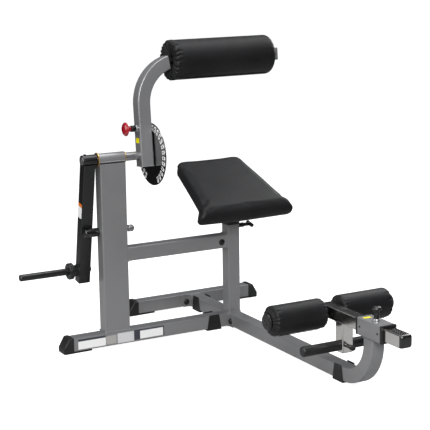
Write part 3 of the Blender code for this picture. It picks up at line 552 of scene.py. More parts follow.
def weld_bead(name, corners, body, paint=None, radius=0.0024, closed=True):
    """Rippled bead of weld running through corner points."""
    sag = 0.0008
    points = [Vector(corner) for corner in corners]
    if closed:
        points.append(points[0])
    spacing = 0.0022
    run = []
    for start, end in zip(points, points[1:]):
        steps = max(2, round((end - start).length / spacing))
        for step in range(steps):
            run.append(start.lerp(end, step / steps))
    if not closed:
        run.append(points[-1])
    data = bpy.data.curves.new(name, "CURVE")
    data.dimensions = "3D"
    data.bevel_depth = radius
    data.bevel_resolution = 1
    data.use_fill_caps = not closed
    spline = data.splines.new("POLY")
    spline.points.add(len(run) - 1)
    for index, (slot, point) in enumerate(zip(spline.points, run)):
        wobble = noise.noise(point * 90) * sag
        slot.co = (point.x, point.y, point.z + wobble * 0.4, 1)
        slot.radius = 1 + 0.16 * (-1) ** index + noise.noise(point * 160) * 0.22
    spline.use_cyclic_u = closed
    shape = evaluated_shape(name + "_path", data, 0.00001)
    return finish_mesh(shape, name, paint or WELD, body, math.radians(80))


def rectangle(centre, right, up, width, height):
    """Four corners of a rectangle."""
    return [centre + right * (sr * width / 2) + up * (su * height / 2)
            for sr, su in ((1, 1), (-1, 1), (-1, -1), (1, -1))]


def circle(centre, axis, radius):
    """Points of a circle round an axis."""
    count = 36
    side = axis.orthogonal().normalized()
    other = axis.cross(side)
    return [centre + (side * math.cos(2 * math.pi * step / count)
                      + other * math.sin(2 * math.pi * step / count)) * radius for step in range(count)]


# ---------------------------------------------------------------- frame
def bent_nose_beam():
    """Main beam with a smooth bend, and its rear bolting plate."""
    low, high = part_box("main_beam")
    side = extent("front_cross_tube").z
    base = low.z + side / 2
    front = low.y + side / 2
    radius = BEAM_BEND_R
    bend = front + radius
    plate = FLANGE_T
    rear = high.y - plate / 2
    centre_x = POST.x
    path = [Vector((centre_x, y, base)) for y in (rear, bend + 0.02, bend)]
    steps = 28
    for step in range(1, steps + 1):
        angle = math.pi / 2 * step / steps
        rise = radius * (1 - math.cos(angle))
        path.append(Vector((centre_x, bend - radius * math.sin(angle), base + rise)))
    path.append(Vector((centre_x, front, high.z)))
    beam = finish_mesh(sweep_shape(path, X, tube_outline(side)), "main_beam_piece",
                       MATERIALS["frame_paint"], "frame")
    even_normals(stand_for(beam, "main_beam"))
    spot = Vector((centre_x, high.y - plate / 2, base))
    flange = block_shape(spot, X, Z, 0.114, side - 0.001, plate, 0.004)
    piece = even_normals(finish_mesh(flange, "beam_flange_plate", MATERIALS["frame_paint"], "frame"))
    joint = Vector((centre_x, high.y - plate - 0.0008, base))
    weld_bead("weld_beam_flange", rectangle(joint, X, Z, side - 0.002, side - 0.002), "frame")
    neck = Vector((centre_x, front, high.z - 0.0012))
    weld_bead("weld_nose", rectangle(neck, X, Y, side - 0.001, side - 0.001), "frame", radius=0.0028)


def straight_members():
    """Tubes and shoes that only need softer edges and paint."""
    for node in ("front_cross_tube", "rear_cross_tube", "upright", "brace_tube", "seat_post", "foot_sleeve",
                 "seat_bracket", "weight_arm", "slide_tube", "drop_tube", "seat_inner_post"):
        refined(node)
    for node in ("front_cross_shoe", "rear_left_shoe", "rear_right_shoe"):
        refined(node, 0.0016)
    for node in ("cross_tube_shoe", "beam_rear_shoe", "beam_front_shoe", "post_bushing",
                 "sleeve_bushing_front", "sleeve_bushing_rear"):
        refined(node, 0.0009)
    refined("seat_board", 0.002)


def frame_welds():
    """Beads where the tubes meet."""
    root = 0.0006
    for node, name in (("upright", "weld_upright_foot"), ("seat_post", "weld_post_foot")):
        size = extent(node)
        foot = end_point(node, 2, -1) + Z * root
        weld_bead(name, rectangle(foot, X, Y, size.x, size.y), "frame", radius=0.003)
    size = extent("brace_tube")
    for side, sign in (("left", -1), ("right", 1)):
        spot = end_point("brace_tube", 0, sign) - X * (sign * root)
        weld_bead("weld_brace_" + side, rectangle(spot, Y, Z, size.y, size.z), "frame")
    flange_depth, bead_side = 0.0058, 0.0495
    spot = end_point("front_cross_tube", 0, 1) - X * flange_depth
    weld_bead("weld_cross_flange", rectangle(spot, Y, Z, bead_side, bead_side), "frame")
    reach, drop, inset = 0.0208, 0.0095, 0.002
    low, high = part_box("upright")
    for side, sign in (("front", -1), ("rear", 1)):
        ends = [Vector((x, PIVOT.y + sign * reach, PIVOT.z - drop)) for x in (low.x + inset, high.x - inset)]
        weld_bead("weld_housing_" + side, ends, "frame", radius=0.0026, closed=False)


def frame_bolts():
    """Button-head bolts of the flanges, the brace and the horn, each with a hexagon socket and a washer."""
    shank = 0.0025
    for node, out in (("cross_flange_bolt_front", -X), ("cross_flange_bolt_rear", -X),
                      ("beam_flange_bolt_left", -Y), ("beam_flange_bolt_right", -Y),
                      ("brace_bolt", -Y), ("horn_bolt", X)):
        low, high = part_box(node)
        centre = (low + high) / 2
        axis = 0 if abs(out.x) else 1
        centre[axis] = low[axis] + shank if out[axis] > 0 else high[axis] - shank
        height = (high - low)[axis] - shank
        radius = (high - low).z / 2
        socket = radius * 0.42
        head = [(height * 0.35, 0.0), (height * 0.35, socket, 6), (height, socket, 6),
                (height, radius * 0.55), (height * 0.86, radius * 0.84), (height * 0.35, radius),
                (0.0004, radius), (0.0004, 0.0)]
        turned_piece(node, head, centre, out, 48, corner=0.0004)
        inner, outer = radius * 0.5, radius * 1.18
        washer = [(0.0002, inner), (0.0002, outer), (0.0012, outer), (0.0012, inner)]
        ring = lathe(node + "_washer", washer, centre, out, MATERIALS["black_paint"], BODY_OF[node], 48,
                     True, 0.0003)


def pipe(node, bore, corner):
    """Plain turned pipe along X that stands for a CAD node."""
    half, radius = extent(node).x / 2, extent(node).z / 2
    profile = [(-half, bore), (-half, radius), (half, radius), (half, bore)]
    turned_piece(node, profile, middle(node), X, 72, True, corner)


def pivot_parts():
    """Housing, bushings, shaft and the weight arm's hub."""
    pipe("pivot_housing", HOUSING_BORE, 0.0008)
    pipe("weight_arm_hub", SHAFT_BORE, 0.001)
    pipe("pad_arm_bushing", SHAFT_BORE, 0.0005)
    half, radius = extent("pivot_shaft").x / 2, extent("pivot_shaft").z / 2
    profile = [(-half + 0.002, 0.0), (-half, 0.004), (-half, radius), (half, radius), (half, 0.004),
               (half - 0.002, 0.0)]
    turned_piece("pivot_shaft", profile, middle("pivot_shaft"), X, corner=0.0012)
    inner, outer, lip, length = 0.0160, 0.0182, 0.0039, 0.0235
    for node, sign in (("left_bushing", -1), ("right_bushing", 1)):
        flange = extent(node).z / 2
        spot = Vector((end_point(node, 0, sign).x, PIVOT.y, PIVOT.z))
        profile = [(0.0, inner), (0.0, flange), (-lip, flange), (-lip, outer), (-length, outer),
                   (-length, inner)]
        turned_piece(node, profile, spot, X * sign, 72, True, 0.0004)


def stop_parts():
    """Bumper that the weight arm rests on, and its bolt on the other side of the upright."""
    radius, reach = extent("stop_bumper").z / 2, extent("stop_bumper").x
    profile = [(0.0, 0.0), (0.0, radius), (reach - 0.004, radius), (reach - 0.0012, radius - 0.0012),
               (reach, radius - 0.0040), (reach, 0.0)]
    turned_piece("stop_bumper", profile, end_point("stop_bumper", 0, 1), -X, 56, corner=0.0015,
                 paint=GLOSS_PLASTIC)
    profile = [(0.0, 0.0), (0.0, 0.0148), (0.0026, 0.0148), (0.0028, 0.0098, 6), (0.0110, 0.0098, 6),
               (0.0112, 0.0078), (0.0190, 0.0078), (0.0192, 0.0128), (0.0360, 0.0128), (0.0405, 0.0095),
               (0.0415, 0.0)]
    turned_piece("stop_bolt", profile, end_point("stop_bolt", 0, -1), X, 60, corner=0.0006)


# ---------------------------------------------------------------- swing
def horn_parts():
    """Plate horn with a rounded tip and its collar."""
    low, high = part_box("weight_horn")
    radius = (high.z - low.z) / 2
    centre = Vector((high.x, HORN.y, HORN.z))
    reach = high.x - low.x
    profile = [(0.0, 0.0), (0.0, radius), (reach - 0.005, radius), (reach - 0.0015, radius - 0.0015),
               (reach, radius - 0.005), (reach, 0.0)]
    turned_piece("weight_horn", profile, centre, -X, 56, corner=0.0015)
    low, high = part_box("horn_collar")
    flange = (high.z - low.z) / 2
    reach = high.x - low.x
    base = Vector((high.x, HORN.y, HORN.z))
    inner = radius + GAP
    profile = [(0.0, inner), (0.0, 0.021), (0.0195, 0.021), (0.0205, flange - 0.0015), (0.0215, flange),
               (0.0290, flange), (0.0296, flange - 0.0012), (0.0306, flange - 0.0012), (0.0312, flange),
               (reach - 0.002, flange), (reach, flange - 0.002), (reach, inner)]
    turned_piece("horn_collar", profile, base, -X, 72, True, 0.0005)
    ring = circle(Vector((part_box("weight_arm")[0].x - 0.0004, HORN.y, HORN.z)), X, 0.0218)
    weld_bead("weld_horn", ring, "swing", MATERIALS["black_paint"], radius=0.0022)
    screw = Vector((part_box("weight_arm_hub")[0].x + 0.013, PIVOT.y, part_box("weight_arm_hub")[1].z - 0.0003))
    head = [(0.0012, 0.0), (0.0012, 0.0020, 6), (0.0034, 0.0020, 6), (0.0034, 0.0042), (0.0026, 0.0048),
            (0.0, 0.0050), (0.0, 0.0)]
    piece = lathe("hub_set_screw", head, screw, Z, MATERIALS["black_paint"], "swing", 36, corner=0.0003)


def number_plate(centre, spoke, length, width, hole):
    """White printed patch round an index hole, long along its spoke."""
    across = spoke.cross(X)
    lift = -X * PRINT_T
    steps = 32
    shape = bmesh.new()
    rings = []
    for level in (0.2, 1.0):
        outer, inner = [], []
        for step in range(steps):
            angle = 2 * math.pi * step / steps
            c, s = math.cos(angle), math.sin(angle)
            reach = (abs(c / length * 2) ** 5 + abs(s / width * 2) ** 5) ** -0.2
            outer.append(shape.verts.new(centre + (spoke * c + across * s) * reach + lift * level))
            inner.append(shape.verts.new(centre + (spoke * c + across * s) * hole + lift * level))
        rings += [outer, inner]
    low_outer, low_inner, high_outer, high_inner = rings
    join_rings(shape, ((low_outer, high_outer), (high_outer, high_inner), (high_inner, low_inner),
                       (low_inner, low_outer)))
    return shape


def index_disc():
    """Polished disc with its hub and its ring of holes, each in a white numbered patch."""
    low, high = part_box("index_disc")
    radius = (high.z - low.z) / 2
    thickness = DISC_THICKNESS
    face = Vector((low.x, PIVOT.y, PIVOT.z))
    hub = high.x - low.x
    bore = SHAFT_BORE
    profile = [(0.0, bore), (0.0, radius), (thickness, radius), (thickness, 0.0242), (hub, 0.0236),
               (hub, bore)]
    disc = lathe("index_disc_piece", profile, face, X, MATERIALS["gloss_black"], "swing", 144, True, 0.0005)
    cutters = bmesh.new()
    patches = bmesh.new()
    numbers = bmesh.new()
    start = math.atan2((PAD.col[2]).z, -(PAD.col[2]).y) + HOLES_AHEAD * HOLE_STEP
    for number in range(HOLE_COUNT):
        angle = start - number * HOLE_STEP
        spoke = Vector((0, -math.cos(angle), math.sin(angle)))
        hole = [(-0.01, 0.0), (-0.01, HOLE_R), (0.02, HOLE_R), (0.02, 0.0)]
        spot = face + spoke * RING_R
        add_shape(cutters, lathe_shape(hole, spot, X, 24, corner=0))
        add_shape(patches, number_plate(spot + spoke * 0.0004, spoke, 0.0235, 0.0128, HOLE_R + 0.0005))
        add_shape(numbers, numeral(str(number + 1), spot - spoke * 0.0082, spoke))
    tool = finish_mesh(cutters, "disc_holes", MATERIALS["gloss_black"], "swing")
    cut = disc.modifiers.new("Holes", "BOOLEAN")
    cut.operation = "DIFFERENCE"
    cut.object = tool
    cut.solver = "EXACT"
    apply_modifiers(disc)
    for polygon in disc.data.polygons:
        if abs(polygon.normal.x) > SQUARE_TO_SHAFT:
            polygon.use_smooth = False
    bpy.data.objects.remove(tool)
    stand_for(disc, "index_disc")
    finish_mesh(patches, "disc_patches", WHITE_INK, "swing", math.radians(30))
    finish_mesh(numbers, "disc_numbers", BLACK_INK, "swing", math.radians(30))


def apply_modifiers(piece):
    """Bake a piece's modifiers into its mesh."""
    bpy.context.view_layer.update()
    graph = bpy.context.evaluated_depsgraph_get()
    mesh = bpy.data.meshes.new_from_object(piece.evaluated_get(graph))
    mesh.set_sharp_from_angle(angle=SMOOTH_ANGLE)
    piece.modifiers.clear()
    piece.data = mesh
    return piece


def numeral(text, spot, spoke):
    """Printed number on the disc's left face, upright along its spoke."""
    data = bpy.data.curves.new("numeral", "FONT")
    data.body = text
    data.size = 0.0056
    data.extrude = PRINT_T / 2
    data.offset = 0.00012
    data.align_x = "CENTER"
    data.align_y = "CENTER"
    data.resolution_u = 3
    out = -X
    right = spoke.cross(out)
    turn = Matrix((right, spoke, out)).transposed().to_4x4()
    place = Matrix.Translation(spot + out * PRINT_T * 1.5) @ turn
    return evaluated_shape("numeral", data, 0.000005, place)


# ---------------------------------------------------------------- pad arm
def pad_point(x, up):
    """World place of a point on the pad arm's middle plane, by its distance along the arm."""
    return PAD @ Vector((x, 0, up))


def pad_arm():
    """Bent square arm with smooth bend and a weld bead round its foot."""
    side = PAD_ARM_SIDE
    low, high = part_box("pad_arm")
    centre_x = low.x + side / 2
    end_x = high.x
    drop = PAD_ARM_FOOT
    bend_r = PAD_ARM_BEND_R
    straight = ROLLER_UP - bend_r - 0.001
    normal = -(PAD.to_3x3() @ Y)
    path = [pad_point(centre_x, up) for up in (drop, straight - 0.02, straight)]
    turn_x = centre_x + bend_r
    steps = 30
    for step in range(1, steps + 1):
        angle = math.radians(90) * step / steps
        place = turn_x - bend_r * math.cos(angle)
        if place > end_x - 0.001:
            break
        path.append(pad_point(place, straight + bend_r * math.sin(angle)))
    slope = (path[-1] - path[-2]).normalized()
    path.append(path[-1] + slope * ((end_x - path[-1].x) / slope.x))
    shape = sweep_shape(path, normal, tube_outline(side, 0.0045))
    for vert in shape.verts:
        vert.co.x = min(vert.co.x, end_x)
    arm = finish_mesh(shape, "pad_arm_piece", MATERIALS["frame_paint"], "pad_arm")
    even_normals(stand_for(arm, "pad_arm"))
    spot = pad_point(centre_x, drop + 0.0015)
    depth = PAD.to_3x3() @ Y
    corners = rectangle(spot, X, depth, side - 0.002, side - 0.002)
    weld_bead("weld_arm_foot", corners, "pad_arm", radius=0.0018)


def bar_parts():
    """Roller bar with the square tube stub on its right end, closed by a plug."""
    low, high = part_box("roller_bar")
    centre = Vector((low.x, ROLLER_AXIS.y, ROLLER_AXIS.z))
    reach = high.x - low.x
    stub, side, wall = 0.030, 0.047, 0.0025
    bar_r = 0.0125
    profile = [(0.0, 0.0), (0.0, bar_r), (reach - stub, bar_r), (reach - stub, 0.0)]
    # The bar is painted black so that the recess inside the gathered cover end reads dark: painted shade in the
    # pocket, not the bar's own frame colour.
    bar = lathe("roller_bar_piece", profile, centre, X, MATERIALS["black_paint"], "pad_arm", 64,
                corner=0.0006)
    spot = centre + X * (reach - stub)
    depth = PAD.to_3x3() @ Y
    path = [spot, spot + X * stub / 2, spot + X * (stub - 0.0012)]
    end = finish_mesh(sweep_shape(path, depth, tube_outline(side, 0.0040)), "roller_bar_end",
                      MATERIALS["frame_paint"], "pad_arm")
    even_normals(stand_for(end, "roller_bar"))
    inside = side - 2 * wall
    path = [spot + X * (stub - 0.004), spot + X * (stub - 0.0004), spot + X * stub]
    plug = finish_mesh(sweep_shape(path, depth, tube_outline(inside, 0.0030)), "roller_bar_plug",
                       MATERIALS["black_plastic"], "pad_arm")
    weld_bead("weld_roller_bar", circle(spot - X * 0.0004, X, bar_r + 0.001), "pad_arm", radius=0.0020)


def pull_pin(prefix, barrel_node, knob_node, out, boss, knob_profile, knob_paint, sleeve_r=0.0118):
    """Spring pin: zinc boss nut, black sleeve and a knob on a steel stem."""
    low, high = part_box(barrel_node)
    centre = (low + high) / 2
    axis = [index for index in range(3) if abs(out[index]) > 0.5][0]
    base = low[axis] if out[axis] > 0 else high[axis]
    centre[axis] = base
    reach = (high - low)[axis]
    body = BODY_OF[barrel_node]
    nut = [(0.0001, 0.0058), (0.0001, boss), (0.0070, boss), (0.0070, 0.0058)]
    nut_piece = lathe(prefix + "_boss", nut, centre, out, ZINC, body, 60, True, 0.0009)
    stand_for(nut_piece, barrel_node)
    sleeve = [(0.0072, 0.0056), (0.0072, sleeve_r - 0.001), (0.0090, sleeve_r), (reach - 0.002, sleeve_r),
              (reach, sleeve_r - 0.0015), (reach, 0.0056)]
    lathe(prefix + "_sleeve", sleeve, centre, out, MATERIALS["black_plastic"], body, 60, True, 0.0005)
    knob = lathe(prefix + "_knob", knob_profile, centre, out, knob_paint, BODY_OF[knob_node], 72,
                 corner=0.0009)
    stand_for(knob, knob_node)
    pin = [(0.0264, 0.0), (0.0264, 0.0048), (-0.002, 0.0048), (-0.002, 0.0)]
    lathe(prefix + "_pin", pin, centre, out, MATERIALS["bright_steel"], BODY_OF[knob_node], 32, corner=0.0004)


def index_pin():
    """Red mushroom knob on the pad arm."""
    knob = [(0.0570, 0.0), (0.0566, 0.0085), (0.0546, 0.0165), (0.0510, 0.0228), (0.0464, 0.0260),
            (0.0432, 0.0250), (0.0412, 0.0185), (0.0386, 0.0118), (0.0345, 0.0099), (0.0268, 0.0103),
            (0.0268, 0.0)]
    pull_pin("index_pin", "index_pin_barrel", "index_pin_knob", -X, 0.0132, knob, MATERIALS["red_plastic"])


def foot_pin():
    """Black mushroom knob on the foot sleeve."""
    knob = [(0.0480, 0.0), (0.0477, 0.0080), (0.0458, 0.0142), (0.0408, 0.0171), (0.0370, 0.0162),
            (0.0345, 0.0105), (0.0320, 0.0090), (0.0268, 0.0090), (0.0268, 0.0)]
    pull_pin("foot_pin", "foot_pin_barrel", "foot_pin_knob", Z, 0.0128, knob, MATERIALS["black_plastic"],
             0.0096)


def seat_pin():
    """T-handled pin on the right of the seat post."""
    base = end_point("seat_pin_barrel", 0, -1)
    reach = extent("seat_pin_barrel").x
    barrel = [(0.0001, 0.0052), (0.0001, 0.0102), (0.0062, 0.0102), (0.0066, 0.0090),
              (reach - 0.002, 0.0090), (reach, 0.0078), (reach, 0.0052)]
    turned_piece("seat_pin_barrel", barrel, base, X, 48, True, 0.0005)
    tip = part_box("seat_pin_handle")[1].x - base.x
    grip_at = 0.0605
    stem = [(grip_at, 0.0), (grip_at, 0.0070), (0.0345, 0.0070), (0.0340, 0.0062), (0.0340, 0.0048),
            (-0.0030, 0.0046), (-0.0030, 0.0)]
    shape = lathe_shape(stem, base, X, 40, corner=0.0005)
    half, thick = 0.022, tip - grip_at
    bar = [(-half, 0.0), (-half + 0.0006, thick * 0.55), (-half + 0.004, thick * 0.95),
           (-0.008, thick * 0.92), (0.008, thick * 0.92), (half - 0.004, thick * 0.95),
           (half - 0.0006, thick * 0.55), (half, 0.0)]
    lean = math.radians(12)
    direction = Vector((0, math.cos(lean), math.sin(lean)))
    add_shape(shape, lathe_shape(bar, base + X * grip_at, direction, 40, corner=0.002))
    handle = finish_mesh(shape, "seat_pin_handle_piece", MATERIALS["black_plastic"], "seat_pin")
    stand_for(handle, "seat_pin_handle")


# ---------------------------------------------------------------- foot carriage
def foot_parts():
    """Axle ends, foot bar, rubber grips and the clamping screw."""
    low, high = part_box("foot_axle")
    centre = (low + high) / 2
    half = (high.x - low.x) / 2
    flange = (high.z - low.z) / 2
    cap = 0.0080
    profile = [(-half + 0.0016, 0.0), (-half + 0.0016, 0.0060), (-half, 0.0085), (-half, flange - 0.0035),
               (-half + 0.0035, flange), (-half + cap, flange), (-half + cap, 0.0095), (half - cap, 0.0095),
               (half - cap, flange), (half - 0.0035, flange), (half, flange - 0.0035), (half, 0.0085),
               (half - 0.0016, 0.0060), (half - 0.0016, 0.0)]
    turned_piece("foot_axle", profile, centre, X, corner=0.0008)
    half, bar_r = extent("foot_bar").x / 2, 0.0127
    profile = [(-half, 0.0), (-half, bar_r), (half, bar_r), (half, 0.0)]
    turned_piece("foot_bar", profile, middle("foot_bar"), X, 40, corner=0.001)
    for side, node in ((-1, "foot_grip_left"), (1, "foot_grip_right")):
        radius, reach = extent(node).z / 2, extent(node).x
        profile = [(0.0, 0.0129), (0.0, radius), (reach - 0.006, radius), (reach - 0.0025, radius - 0.0012),
                   (reach, radius - 0.0050), (reach, 0.0)]
        turned_piece(node, profile, end_point(node, 0, -side), X * side, corner=0.0012)
    low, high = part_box("foot_bar_lock")
    base = Vector(((low.x + high.x) / 2, high.y - 0.003, (low.z + high.z) / 2))
    reach = base.y - low.y
    steps = 72
    outline = [(0.0, 0.0), (0.0, 0.0068), (0.0165, 0.0068), (0.0175, 0.0086), (0.0340, 0.0086),
               (reach, 0.0066), (reach, 0.0)]
    shape = lathe_shape(outline, base, -Y, steps, corner=0.0006)
    for vert in shape.verts:
        along = base.y - vert.co.y
        if 0.018 < along < 0.0335:
            offset = Vector((vert.co.x - base.x, 0, vert.co.z - base.z))
            if offset.length > 0.004:
                angle = math.atan2(offset.z, offset.x)
                vert.co += offset.normalized() * (0.0004 * math.cos(angle * 18))
    lock = finish_mesh(shape, "foot_bar_lock_piece", MATERIALS["black_plastic"], "foot_slide")
    stand_for(lock, "foot_bar_lock")


def slide_cap():
    """Domed plug in the front end of the plated tube."""
    low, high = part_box("slide_front_cap")
    side = high.x - low.x
    depth = high.y - low.y
    centre = Vector(((low.x + high.x) / 2, high.y, (low.z + high.z) / 2))
    steps = 8
    shape = bmesh.new()
    rings = []
    for step in range(steps + 1):
        angle = math.pi / 2 * step / steps
        along = depth * (0.15 + 0.85 * math.sin(angle)) if step else 0.0
        shrink = 1 - 0.30 * (1 - math.cos(angle)) ** 1.3
        corner = 0.0045 + 0.007 * math.sin(angle)
        ring = []
        for u, v in tube_outline(side * shrink, corner * shrink):
            ring.append(shape.verts.new(centre + X * u + Z * v - Y * along))
        rings.append(ring)
    count = len(rings[0])
    join_rings(shape, zip(rings, rings[1:]))
    shape.faces.new(rings[0])
    tip = shape.verts.new(centre - Y * depth)
    for index in range(count):
        shape.faces.new([rings[-1][index], rings[-1][(index + 1) % count], tip])
    cap = finish_mesh(shape, "slide_front_cap_piece", GLOSS_PLASTIC, "foot_slide", math.radians(60))
    stand_for(cap, "slide_front_cap")


def sleeve_screws():
    """Two set screws in the foot sleeve's left face."""
    low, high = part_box("foot_sleeve")
    z = (low.z + high.z) / 2
    for label_text, y in (("front", low.y + 0.013), ("rear", high.y - 0.013)):
        spot = Vector((low.x, y, z))
        head = [(0.0004, 0.0), (0.0004, 0.0018, 6), (0.0014, 0.0018, 6), (0.0014, 0.0034), (0.0006, 0.0040),
                (-0.0006, 0.0040), (-0.0006, 0.0)]
        screw = lathe("sleeve_screw_" + label_text, head, spot, -X, MATERIALS["black_paint"], "frame", 36,
                      corner=0.0002)


# ---------------------------------------------------------------- labels
CROSS_FACE = middle("front_cross_tube").y - extent("front_cross_tube").z / 2


def labels():
    """Plain printed labels without any lettering."""
    face = CROSS_FACE - LABEL_OFF
    rows = (("left", -0.6635, -0.553, 0.0120, 0.0420, WHITE_LABEL, 0),
            ("left_band", -0.6635, -0.553, 0.0425, 0.0500, DARK_LABEL, 0),
            ("plain", -0.5507, -0.5095, 0.0130, 0.0456, GREY_LABEL, 0),
            ("middle", -0.505, -0.4375, 0.0110, 0.0490, PALE_LABEL, 0),
            ("right", -0.437, -0.311, 0.0130, 0.0515, DARK_LABEL, 0),
            ("right_panel", -0.412, -0.316, 0.0145, 0.0455, WHITE_LABEL, 1))
    for name, start, end, bottom, top, paint, layer in rows:
        spot = Vector((POST.x + (start + end) / 2, face - layer * 0.0002, (bottom + top) / 2))
        label("label_cross_" + name, spot, X, Z, end - start, top - bottom, paint, "frame")
    low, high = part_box("weight_arm")
    face_x = low.x - LABEL_OFF
    slope = WEIGHT.to_3x3() @ Z
    across = slope.cross(X)
    for name, along, height, paint in (("label_weight_arm", -0.1988, 0.0432, WHITE_LABEL),
                                       ("label_weight_arm_band", -0.1702, 0.0120, ORANGE_LABEL)):
        centre = WEIGHT @ Vector((face_x, 0, along))
        label(name, Vector((face_x, centre.y, centre.z)), across, slope, 0.032, height, paint, "swing")
    low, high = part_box("pad_arm")
    face_x = low.x - LABEL_OFF
    slope = PAD.to_3x3() @ Z
    centre = pad_point(face_x, 0.055)
    label("label_pad_arm", Vector((face_x, centre.y, centre.z)), slope.cross(X), slope, 0.026, 0.0185,
          YELLOW_LABEL, "pad_arm")
    low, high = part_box("foot_sleeve")
    spot = Vector((POST.x - 0.006, high.y - 0.022, high.z + LABEL_OFF))
    label("label_foot_sleeve", spot, X, Y, 0.028, 0.015, YELLOW_LABEL, "frame")


# ---------------------------------------------------------------- padded pieces
def simulate(piece, held, cap):
    """Blow the cover up with cloth simulation, then keep each point within a cap of where it began."""
    scene = bpy.context.scene
    mesh = piece.data
    start = [vert.co.copy() for vert in mesh.vertices]
    group = piece.vertex_groups.new(name="held")
    for index, weight in held.items():
        group.add([index], weight, "REPLACE")
    cloth = piece.modifiers.new("Cover", "CLOTH")
    settings = cloth.settings
    settings.quality = 5
    settings.mass = 0.25
    settings.tension_stiffness = 25
    settings.compression_stiffness = 25
    settings.shear_stiffness = 8
    settings.bending_stiffness = 2.0
    settings.air_damping = 2
    settings.vertex_group_mass = "held"
    settings.use_pressure = True
    settings.uniform_pressure_force = COVER_PRESSURE
    settings.effector_weights.gravity = 0
    cloth.point_cache.frame_start = 1
    cloth.point_cache.frame_end = COVER_FRAMES
    for number in range(1, COVER_FRAMES + 1):
        scene.frame_set(number)
    graph = bpy.context.evaluated_depsgraph_get()
    blown = piece.evaluated_get(graph).to_mesh()
    ends = [vert.co.copy() for vert in blown.vertices]
    piece.evaluated_get(graph).to_mesh_clear()
    piece.modifiers.remove(cloth)
    scene.frame_set(1)
    for vert, first, last in zip(mesh.vertices, start, ends):
        move = last - first
        if move.length > cap:
            move *= cap / move.length
        vert.co = first + move
    mesh.update()
    return piece


def fold(angle, count, seed):
    """Height of gathered folds round a hem: rounded ridges between sharp, uneven valleys."""
    place = Vector((math.cos(angle) * 1.7, math.sin(angle) * 1.7, seed))
    wave = math.sin(count * angle / 2 + noise.noise(place) * 2.0)
    strength = 0.8 + 0.6 * noise.noise(place * 1.9)
    return (abs(wave) ** 0.45 - 0.82) * strength


def end_rings(radius, hem, corner, recess, cone, reach):
    """Rings of one end of a cover: (along, radius, gather, outward along, outward radius)."""
    rings = []
    face_steps, corner_steps, neck_steps = 14, 8, 8
    for step in range(face_steps):
        t = step / face_steps
        along = recess * (1 - t) ** 2 + cone * t ** 1.5
        rings.append((along, hem + (radius - corner - hem) * t, 0.25 + 0.75 * min(1, t * 1.8), -1.0, 0.3))
    for step in range(corner_steps + 1):
        angle = math.pi / 2 * step / corner_steps
        rings.append((cone + corner * (1 - math.cos(angle)), radius - corner + corner * math.sin(angle),
                      1.0, -math.cos(angle), math.sin(angle)))
    for step in range(1, neck_steps + 1):
        t = step / neck_steps
        rings.append((cone + corner + reach * t, radius, (1 - t) ** 1.6, 0.0, 1.0))
    return rings


def cover_profile(low_x, high_x, radius, ends):
    """Rings of a roller's cover from hem to hem, each with the strength of its folds."""
    profile = []
    for hem, corner, recess, cone, depth, reach in ends:
        rows = end_rings(radius, hem, corner, recess, cone, reach)
        profile.append([(along, size, gather * depth, out_x, out_r)
                        for along, size, gather, out_x, out_r in rows])
    left = [(low_x + along, *rest) for along, *rest in profile[0]]
    right = [(high_x - along, size, lift, -out_x, out_r) for along, size, lift, out_x, out_r in profile[1]]
    start, end = left[-1][0], right[-1][0]
    steps = round((end - start) / 0.012)
    barrel = [(start + (end - start) * step / steps, radius, 0.0, 0.0, 1.0) for step in range(1, steps)]
    return left + barrel + right[::-1]


def roller_cover(node, ends, folds, steps, seed):
    """Sewn vinyl sleeve over foam, gathered round the bar at both ends."""
    low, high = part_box(node)
    centre = (low + high) / 2
    swell = 0.0012
    radius = (high.z - low.z) / 2 - swell
    inset = 0.0010
    shape = bmesh.new()
    rings = []
    for x, reach, depth, out_x, out_r in cover_profile(low.x + inset, high.x - inset, radius, ends):
        ring = []
        side_seed = seed + (5 if x > centre.x else 0)
        for step in range(steps):
            angle = 2 * math.pi * step / steps
            lift = fold(angle, folds, side_seed) * depth
            offset = reach + lift * out_r
            place = Vector((x + lift * out_x, centre.y + offset * math.cos(angle),
                            centre.z + offset * math.sin(angle)))
            ring.append(shape.verts.new(place))
        rings.append(ring)
    tuck = 0.016
    for x, hem, first in ((low.x + tuck, ends[0][0], True), (high.x - tuck, ends[1][0], False)):
        ring = []
        for step in range(steps):
            angle = 2 * math.pi * step / steps
            inner = min(hem, ends[0][0], ends[1][0]) - 0.001
            y, z = centre.y + inner * math.cos(angle), centre.z + inner * math.sin(angle)
            ring.append(shape.verts.new((x, y, z)))
        rings.insert(0 if first else len(rings), ring)
    join_rings(shape, list(zip(rings, rings[1:])) + [(rings[-1], rings[0])])
    piece = finish_mesh(shape, node + "_cover", MATERIALS["black_vinyl"], BODY_OF[node], math.radians(85))
    held = {}
    for vert in piece.data.vertices:
        hem = ends[0][0] if vert.co.x < centre.x else ends[1][0]
        near_end = min(vert.co.x - low.x, high.x - vert.co.x)
        if math.hypot(vert.co.y - centre.y, vert.co.z - centre.z) < hem + 0.003:
            held[vert.index] = 1.0
        elif near_end < FOLD_HOLD:
            held[vert.index] = 0.9 * (1 - near_end / FOLD_HOLD)
    simulate(piece, held, 0.0025)
    smooth_surface(piece)
    stand_for(piece, node)
    seam(node, centre, radius + swell + 0.0002, low.x + 0.03, high.x - 0.03)
    return piece


def smooth_surface(piece):
    """One level of subdivision."""
    rounding = piece.modifiers.new("Smooth", "SUBSURF")
    rounding.levels = 1
    rounding.render_levels = 1


